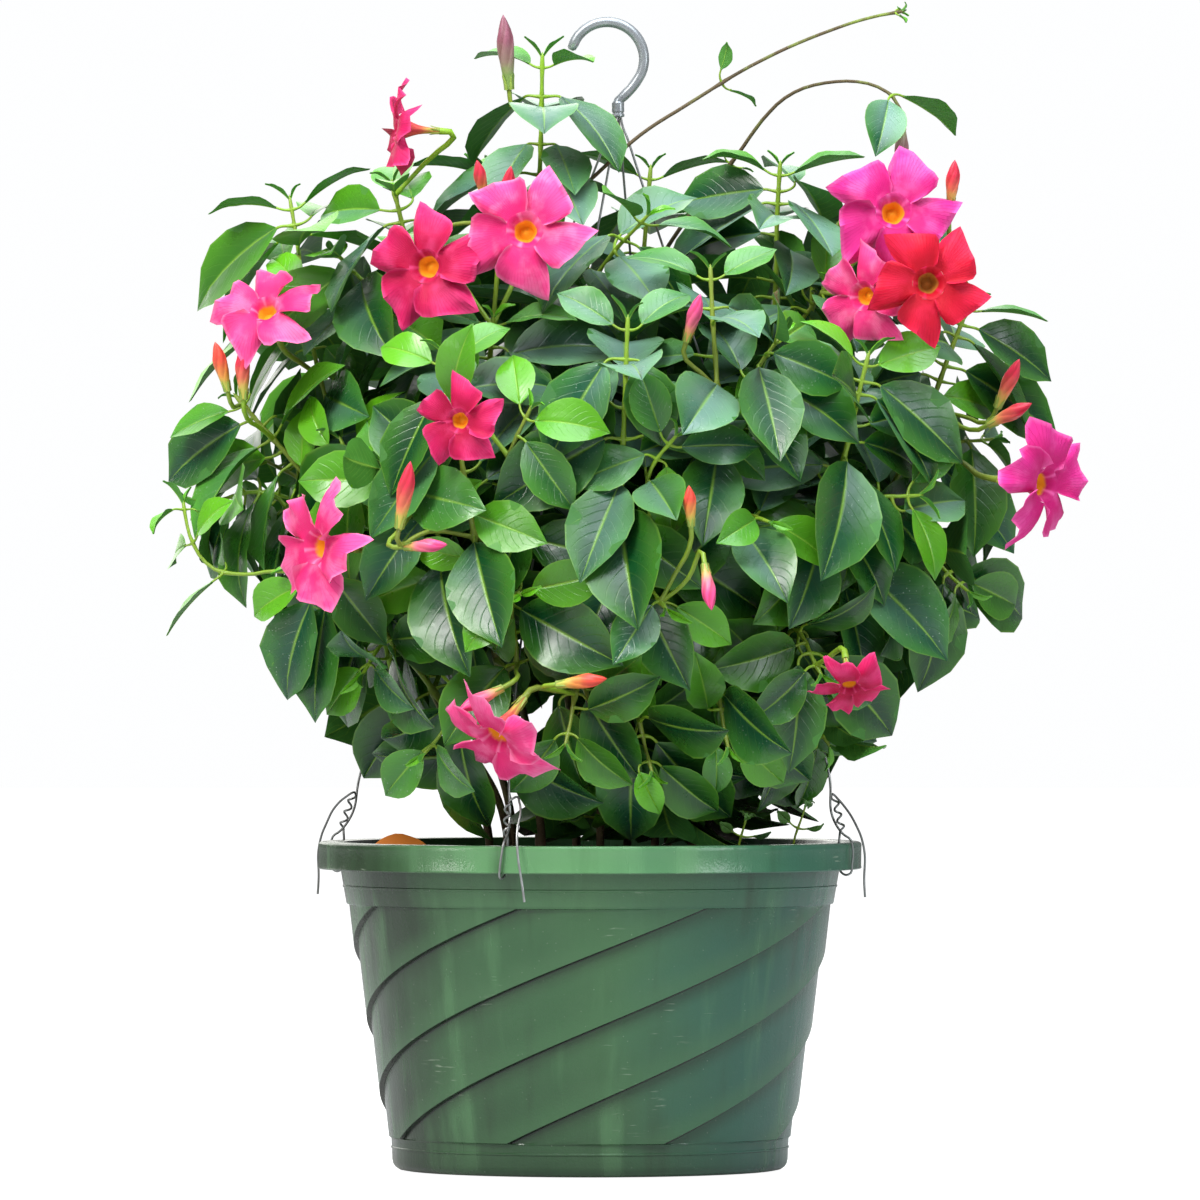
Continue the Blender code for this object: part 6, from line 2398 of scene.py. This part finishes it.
@dataclass
class FallenLeaf:
    """A dead leaf that lies on the mix against the inside of the rim."""

    foliage: Foliage
    base: tuple[float, float] = (-92, -44)
    tip: tuple[float, float] = (-131, -52)
    width: float = 0.62
    lift: float = 9.0
    tilt: float = -0.75
    least_rise: float = 2.2

    def place(self) -> Leaf:
        """Where the leaf lies."""
        base = Vector((*self.base, 0))
        tip = Vector((*self.tip, 0))
        along = (tip - base + UP * self.lift).normalized()
        length = (tip - base).length
        normal = perpendicular(UP + Vector((0, self.tilt, 0)), along)
        wide = length * self.width
        leaf = Leaf(None, base, along, base, along, normal, length, wide, 0.45, 0.1)
        soil = self.foliage.layout.mix
        rise = self.least_rise
        for t in (0.0, 0.42, 1.0):
            point, upward = leaf.rib(t)
            rise = max(rise, soil.height(point.x, point.y) - (point - upward * 0.75).z)
        leaf.base = leaf.base + UP * (rise + GAP)
        return leaf

    def dress(self, effects: Effects) -> None:
        """Builds the leaf and seats it on the mix."""
        dead = BladeFinish(
            "dead_leaf",
            (0.62, 0.17, 0.015), (0.5, 0.12, 0.012), (0.62, 0.2, 0.02), (0.6, 0.18, 0.02),
            (0.7, 0.3, 0.05),
            sky_sheen=(0.75, 0.24, 0.02),
            roughness=0.6,
            speckled=0.2,
        ).material(effects)
        skin = Skin()
        skin.tone = (0.4, 0.5, 0.0)
        leaf = self.place()
        ring = self.foliage.grow_blade(skin, leaf, random.Random("fallen leaf"))
        skin.face(*reversed(ring))
        fit_piece(skin.put("dry_fallen_leaf", [dead, dead], 60), "fallen_leaf", "fallen_leaf")


# Fine blooms and buds


@dataclass
class Corollas:
    """Draws the blooms: a tube that opens into five skewed, waved petals, and its sepals."""

    throat_rings: Table = (
        (34.6, 10.0), (33.2, 8.6), (31.4, 7.4), (29.6, 6.7), (27.4, 6.1), (25.0, 5.2), (23.2, 3.9),
        (23.8, 2.2), (25.0, 0.8),
    )
    tube_rings: Table = (
        (0.0, 2.3), (3.0, 2.35), (7.0, 2.5), (12.0, 3.0), (17.0, 3.9), (21.0, 5.2), (25.0, 6.9),
        (29.0, 8.5), (32.0, 9.6), (34.2, 10.5),
    )
    lobe_reach: Table = (
        (0.0, 15.5), (0.04, 22.0), (0.09, 28.5), (0.16, 31.5), (0.3, 32.0), (0.46, 33.5),
        (0.6, 36.5), (0.7, 40.0), (0.76, 42.5), (0.81, 37.5), (0.88, 30.0), (0.94, 23.0),
        (1.0, 16.0),
    )
    shares: tuple[float, ...] = (
        0.0, 0.04, 0.09, 0.16, 0.26, 0.38, 0.5, 0.61, 0.7, 0.76, 0.81, 0.88, 0.94, 1.0
    )
    lobe_lift: Table = ((0.0, 3.6), (0.2, 2.2), (0.5, 0.6), (0.8, -2.6), (1.0, -3.8))
    rows: tuple[float, ...] = (0.0, 0.07, 0.16, 0.28, 0.42, 0.57, 0.71, 0.83, 0.93, 1.0)
    columns: int = 30
    petal: float = 0.35
    sepal: float = 8.0

    def grow_petal(
        self, skin: Skin, flower: Flower, index: int, spot: Any, rng: random.Random
    ) -> None:
        """Adds one petal, whose leading edge lies over its neighbour's trailing edge.

        Args:
            skin: The skin to add it to.
            flower: The bloom.
            index: Which of its five petals.
            spot: The function from height, radius and angle to a point.
            rng: Where its curl and waves come from.
        """
        curl = rng.uniform(-9.0, 2.5)
        phase = rng.uniform(0, math.tau)
        ruffle = rng.uniform(2.4, 4.4)
        roll_back = rng.uniform(0.0, 9.0)
        tilt = rng.uniform(-3.0, 6.0)
        grid = []
        for row, f in enumerate(self.rows):
            spread = ease(f, 0.12, 0.5)
            line = []
            for s in self.shares:
                angle = flower.roll + (index + mix(s, mix(-0.04, 1.1, s), spread)) * math.tau / 5
                reach = along_table(self.lobe_reach, s)
                radius = mix(10.8, reach, f)
                lift = along_table(self.lobe_lift, s)
                rise = BLOOM_TUBE - 1.6 + 0.9 * ease(f, 0.0, 0.3) + lift * ease(f, 0.08, 0.8)
                rise += tilt * (0.5 - s) * f * f
                cup = 1.0 - (2 * s - 1) ** 2
                rise += curl * f * f * cup + 1.2 * math.sin(math.pi * f) * cup
                rise += ruffle * math.sin(2.6 * math.tau * s + phase) * f * f * f
                rise -= roll_back * ease(s, 0.55, 0.76) * ease(f, 0.6, 1.0)
                crease = math.exp(-(((s - 0.5) / 0.06) ** 2))
                rise -= 1.8 * crease * ease(f, 0.0, 0.3) * (1 - f) * 0.4
                line.append((rise, radius, angle))
            grid.append(line)
        faces_up, faces_down = [], []
        for row, (f, line) in enumerate(zip(self.rows, grid)):
            thick = self.petal * (1 - 0.75 * f)
            upper = [spot(rise + thick, radius, angle) for rise, radius, angle in line]
            lower = [spot(rise - thick, radius, angle) for rise, radius, angle in line]
            lays = [(2 * s - 1, f, 1.0) for s in self.shares]
            under = [(2 * s - 1, f, -1.0) for s in self.shares]
            faces_up.append(skin.add(upper, lays))
            faces_down.append(skin.add(lower, under))
        for row in range(len(grid) - 1):
            for k in range(len(self.shares) - 1):
                a, b = faces_up[row], faces_up[row + 1]
                skin.face(a[k], b[k], b[k + 1], a[k + 1])
                a, b = faces_down[row], faces_down[row + 1]
                skin.face(a[k], a[k + 1], b[k + 1], b[k])
            for k in (0, -1):
                a, b = faces_up, faces_down
                ring = (a[row][k], b[row][k], b[row + 1][k], a[row + 1][k])
                skin.face(*(ring if k == 0 else ring[::-1]))
        for row in (0, -1):
            for k in range(len(self.shares) - 1):
                a, b = faces_up[row], faces_down[row]
                ring = (a[k], a[k + 1], b[k + 1], b[k])
                skin.face(*(ring if row == 0 else ring[::-1]))

    def grow_tube(self, skin: Skin, spot: Any) -> None:
        """Adds the tube with its flared throat, outside and inside.

        Args:
            skin: The skin to add it to.
            spot: The function from height, radius and angle to a point.
        """
        turns = [math.tau * k / self.columns for k in range(self.columns)]

        def ring(height: float, radius: float, side: float) -> list[int]:
            """One ring of the tube."""
            ridge = [1 + 0.035 * math.cos(5 * turn) * ease(height, 8, 30) for turn in turns]
            points = [spot(height, radius * wide, turn) for turn, wide in zip(turns, ridge)]
            out = height / BLOOM_TUBE - 1
            return skin.add(points, [(math.sin(2.5 * turn), out, side) for turn in turns])

        rings = [ring(height, radius, -1.0) for height, radius in self.tube_rings]
        rings.append(ring(34.7, 11.0, -0.6))
        rings.append(ring(34.9, 10.9, 0.6))
        rings += [ring(height, radius, 1.0) for height, radius in self.throat_rings]
        skin.loft(rings)

    def grow_sepals(self, skin: Skin, spot: Any, size: float, rng: random.Random) -> None:
        """Adds the five narrow sepals that hold the tube's foot.

        Args:
            skin: The skin to add them to.
            spot: The function from height, radius and angle to a point.
            size: Their length.
            rng: Where their flare comes from.
        """
        for k in range(5):
            turn = math.tau * k / 5 + rng.uniform(-0.12, 0.12)
            flare = rng.uniform(0.3, 1.6)
            skin.tone = (0.0, rng.random(), 0.0)
            rings = []
            for t in (0.0, 0.3, 0.6, 0.85):
                half = 0.5 * (1 - t) ** 0.7
                radius = 2.5 + flare * t * t
                outer = [
                    spot(size * t - 0.4, radius, turn - half),
                    spot(size * t - 0.4, radius + 0.55, turn),
                    spot(size * t - 0.4, radius, turn + half),
                    spot(size * t - 0.4, radius - 0.3, turn),
                ]
                rings.append(skin.add(outer, [(x, t, 1.0) for x in (-1.0, 0.0, 1.0, 0.0)]))
            skin.loft(rings, tip=skin.add([spot(size, 2.5 + flare, turn)], [(0, 1, 1)])[0])

    def build(self, flower: Flower) -> Skin:
        """Builds one bloom.

        Args:
            flower: The bloom.

        Returns:
            Its skin, with finish 0 for petals and 1 for sepals.
        """
        base, aim, u, v = flower_frame(flower, bloom_base(flower), BLOOM_UP)
        rng = random.Random(f"petals {flower.name}")

        def spot(height: float, radius: float, angle: float) -> Vector:
            """A point by its height above the foot, its radius and its angle."""
            return base + (aim * height + spoke(u, v, angle) * radius) * flower.size

        skin = Skin()
        skin.tone = (0.0, rng.random(), 0.0)
        self.grow_tube(skin, spot)
        for index in range(5):
            skin.tone = (0.0, rng.random(), 0.0)
            self.grow_petal(skin, flower, index, spot, rng)
        skin.finish = 1
        self.grow_sepals(skin, spot, self.sepal, rng)
        return skin

    def dress(self, effects: Effects, sepal: bpy.types.Material) -> None:
        """Builds every bloom and seats it in the frame."""
        pink = PetalFinish(
            "petal_pink", (0.68, 0.01, 0.12), (0.46, 0.001, 0.05), (0.85, 0.075, 0.25)
        )
        light = PetalFinish(
            "petal_light", (0.87, 0.06, 0.26), (0.72, 0.015, 0.15), (0.95, 0.26, 0.48)
        )
        magenta = PetalFinish(
            "petal_magenta", (0.76, 0.028, 0.27), (0.58, 0.006, 0.16), (0.9, 0.16, 0.47)
        )
        red = PetalFinish(
            "petal_red",
            (0.72, 0.003, 0.036), (0.5, 0.001, 0.016), (0.82, 0.018, 0.08),
            throat=(0.36, 0.12, 0.015),
            eye=(0.5, 0.2, 0.03),
        )
        finishes = {finish.name: finish.material(effects) for finish in (pink, light, magenta, red)}
        chosen = {"bloom_red": red, "bloom_top_right": magenta, "bloom_right": magenta}
        for place in ("top_centre", "left", "lower_left", "low", "pale"):
            chosen[f"bloom_{place}"] = light
        slots = {"petal_light": "petal_pale", "petal_red": "petal_red"}
        for flower in BLOOMS:
            finish = chosen.get(flower.name, pink)
            obj = self.build(flower).put(f"open_{flower.name}", [finishes[finish.name], sepal], 55)
            fit_piece(obj, slots.get(finish.name, "petal_pink"), flower.name)


@dataclass
class Furled:
    """Draws the buds: petals furled round each other in a spiral, over their sepals."""

    corollas: Corollas
    rings: int = 20
    columns: int = 30
    twist: float = 2.1
    furrow: float = 0.16
    shape: Table = (
        (0.0, 0.42), (0.12, 0.5), (0.3, 0.74), (0.45, 0.92), (0.58, 1.0), (0.7, 0.92),
        (0.82, 0.66), (0.92, 0.36), (1.0, 0.05),
    )

    def build(self, flower: Flower) -> Skin:
        """Builds one bud.

        Args:
            flower: The bud.

        Returns:
            Its skin, with finish 0 for petals and 1 for sepals.
        """
        base, aim, u, v = flower_frame(flower, bud_base(flower), BUD_SIDE)
        girth = bud_girth(flower)
        rng = random.Random(f"bud {flower.name}")
        skin = Skin()
        rings = []
        for i in range(self.rings):
            t = i / self.rings
            points, lays = [], []
            for k in range(self.columns):
                turn = math.tau * k / self.columns
                fold = ((turn * 5 / math.tau) - self.twist * t) % 1.0
                step = 1 - fold if fold > 0.12 else fold / 0.12 * 0.88
                radius = girth * along_table(self.shape, t)
                radius *= 1 - self.furrow * (1 - step) * ease(t, 0.15, 0.45)
                points.append(base + aim * flower.size * t + spoke(u, v, turn) * radius)
                lays.append((0.0, t, (1 - step) * ease(t, 0.15, 0.4)))
            rings.append(skin.add(points, lays))
        skin.loft(rings, tip=skin.add([Vector(flower.place)], [(0.0, 1.0, 0.0)])[0])

        def spot(height: float, radius: float, angle: float) -> Vector:
            """A point by its height above the foot, its radius and its angle."""
            return base + aim * height + spoke(u, v, angle) * radius * girth / 5.2

        skin.finish = 1
        self.corollas.grow_sepals(skin, spot, flower.size * 0.22, rng)
        return skin

    def dress(self, effects: Effects, sepal: bpy.types.Material) -> None:
        """Builds every bud and seats it in the frame."""
        red = BudFinish("bud_red", (0.72, 0.02, 0.06), (0.82, 0.16, 0.09), (0.55, 0.5, 0.08))
        pink = BudFinish("bud_pink", (0.88, 0.07, 0.26), (0.9, 0.16, 0.26), (0.7, 0.4, 0.1))
        orange = BudFinish("bud_orange", (0.82, 0.07, 0.04), (0.85, 0.3, 0.06), (0.5, 0.5, 0.07))
        mauve = BudFinish("bud_mauve", (0.27, 0.08, 0.12), (0.3, 0.2, 0.16), (0.2, 0.32, 0.07))
        finishes = {finish.name: finish.material(effects) for finish in (red, pink, orange, mauve)}
        chosen = {"bud_tall": mauve, "bud_arch": mauve}
        chosen.update(dict.fromkeys(("bud_fat", "bud_hanging", "bud_pink", "bud_low"), pink))
        chosen.update(dict.fromkeys(("bud_left_thin", "bud_orange", "bud_low_thin"), orange))
        for flower in BUDS:
            finish = finishes[chosen.get(flower.name, red).name]
            obj = self.build(flower).put(f"furled_{flower.name}", [finish, sepal], 50)
            fit_piece(obj, "bud", flower.name)


# The studio


# Each lamp's name and place, its size in metres, its power in watts and its colour
LAMPS = (
    ("key", (-1.5, -2.0, 2.5), 1.1, 84.0, (1.0, 0.99, 0.96)),
    ("sky", (0.3, -0.9, 3.0), 3.0, 165.0, (0.84, 0.93, 1.0)),
    ("fill", (2.4, -1.7, 0.9), 0.8, 14.0, (0.9, 0.97, 1.0)),
    ("left_strip", (-1.9, -1.1, 0.5), 0.35, 4.0, (1.0, 0.99, 0.96)),
    ("back", (-0.9, 2.4, 1.7), 2.8, 45.0, (1.0, 1.0, 0.94)),
)


@dataclass
class Studio:
    """A plain pale floor, soft lights and the camera at the photograph's angle."""

    distance: float = 7.4
    aim: tuple[float, float] = (0.0059, 0.3351)
    lens: float = 376.9
    sensor: float = 36.0
    far: float = 60.0
    floor_size: float = 30.0
    floor_glow: float = 0.1
    room_light: float = 0.24

    def build_floor(self) -> None:
        """Lays the floor."""
        made = Material("pale_floor")
        patches = made.noise(3.0, 2.0)
        seen = made.node("ShaderNodeLightPath").outputs["Is Camera Ray"]
        made.set(
            Base_Color=made.blend(patches, (0.4, 0.4, 0.4), (0.43, 0.43, 0.43)),
            Roughness=0.8,
            Emission_Color=(1.0, 1.0, 1.0),
            Emission_Strength=made.step(seen, 0.0, 1.0, self.floor_glow, 1.0),
        )
        skin = Skin()
        half = self.floor_size / METRES / 2
        corners = ((-half, -half), (half, -half), (half, half), (-half, half))
        skin.face(*skin.add((x, y, -1) for x, y in corners))
        skin.put("floor", [made.material], 30)

    @staticmethod
    def lamp(name: str, place: Colour, size: float, power: float, colour: Colour) -> None:
        """Adds one soft lamp that points at the middle of the plant.

        Args:
            name: The lamp's name.
            place: Where it stands.
            size: The side of its square, in metres.
            power: Its power in watts.
            colour: Its colour.
        """
        light = bpy.data.lights.new(name, "AREA")
        light.shape = "SQUARE"
        light.size = size
        light.energy = power
        light.color = colour
        obj = bpy.data.objects.new(name, light)
        obj.location = place
        aim = PLANT_MIDDLE - Vector(place)
        obj.rotation_euler = aim.to_track_quat("-Z", "Y").to_euler()
        bpy.context.scene.collection.objects.link(obj)

    def build_lights(self) -> None:
        """Hangs the lamps and lights the world."""
        for lamp in LAMPS:
            self.lamp(*lamp)
        world = bpy.data.worlds.new("pale_room")
        bpy.context.scene.world = world
        world.use_nodes = True
        shade = Shade(world.node_tree)
        background = world.node_tree.nodes["Background"]
        shade.feed(background.inputs[0], (0.99, 0.995, 1.0))
        seen = shade.node("ShaderNodeLightPath").outputs["Is Camera Ray"]
        shade.feed(background.inputs[1], shade.step(seen, 0.0, 1.0, self.room_light, 1.0))
        bpy.context.scene.view_settings.view_transform = "Standard"

    def build_camera(self) -> None:
        """Sets the camera."""
        data = bpy.data.cameras.new("camera")
        data.lens = self.lens
        data.sensor_width = self.sensor
        data.clip_end = self.far
        camera = bpy.data.objects.new("camera", data)
        across, height = self.aim
        camera.location = (across, -self.distance, height)
        camera.rotation_euler = (math.pi / 2, 0.0, 0.0)
        bpy.context.scene.collection.objects.link(camera)
        bpy.context.scene.camera = camera

    def build(self) -> None:
        """Builds floor, lights and camera."""
        self.build_floor()
        self.build_lights()
        self.build_camera()


def main() -> None:
    """Loads the frame, dresses every sub-assembly in order and sets the studio."""
    logging.basicConfig(level=logging.INFO, format="%(message)s")
    for obj in list(bpy.data.objects):
        bpy.data.objects.remove(obj)
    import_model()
    Studio().build()
    effects = Effects()
    pot = Pot()
    soil = PottingMix(pot)
    hanger = Hanger(pot)
    pot.dress(effects, [bearing for bearing, _, _ in hanger.wires.values()])
    soil.dress(effects)
    hanger.dress(effects)
    layout = Layout(soil, hanger)
    layout.lay_out()
    foliage = Foliage(layout)
    foliage.dress(effects)
    FallenLeaf(foliage).dress(effects)
    sepal = BladeFinish(
        "sepal",
        (0.3, 0.42, 0.06), (0.3, 0.42, 0.06), (0.45, 0.4, 0.07), (0.3, 0.42, 0.06),
        (0.5, 0.55, 0.15),
        sky_sheen=(0.4, 0.5, 0.1),
        roughness=0.45,
        speckled=0.0,
    ).material(effects)
    corollas = Corollas()
    corollas.dress(effects, sepal)
    Furled(corollas).dress(effects, sepal)
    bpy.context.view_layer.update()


if __name__ == "__main__":
    main()
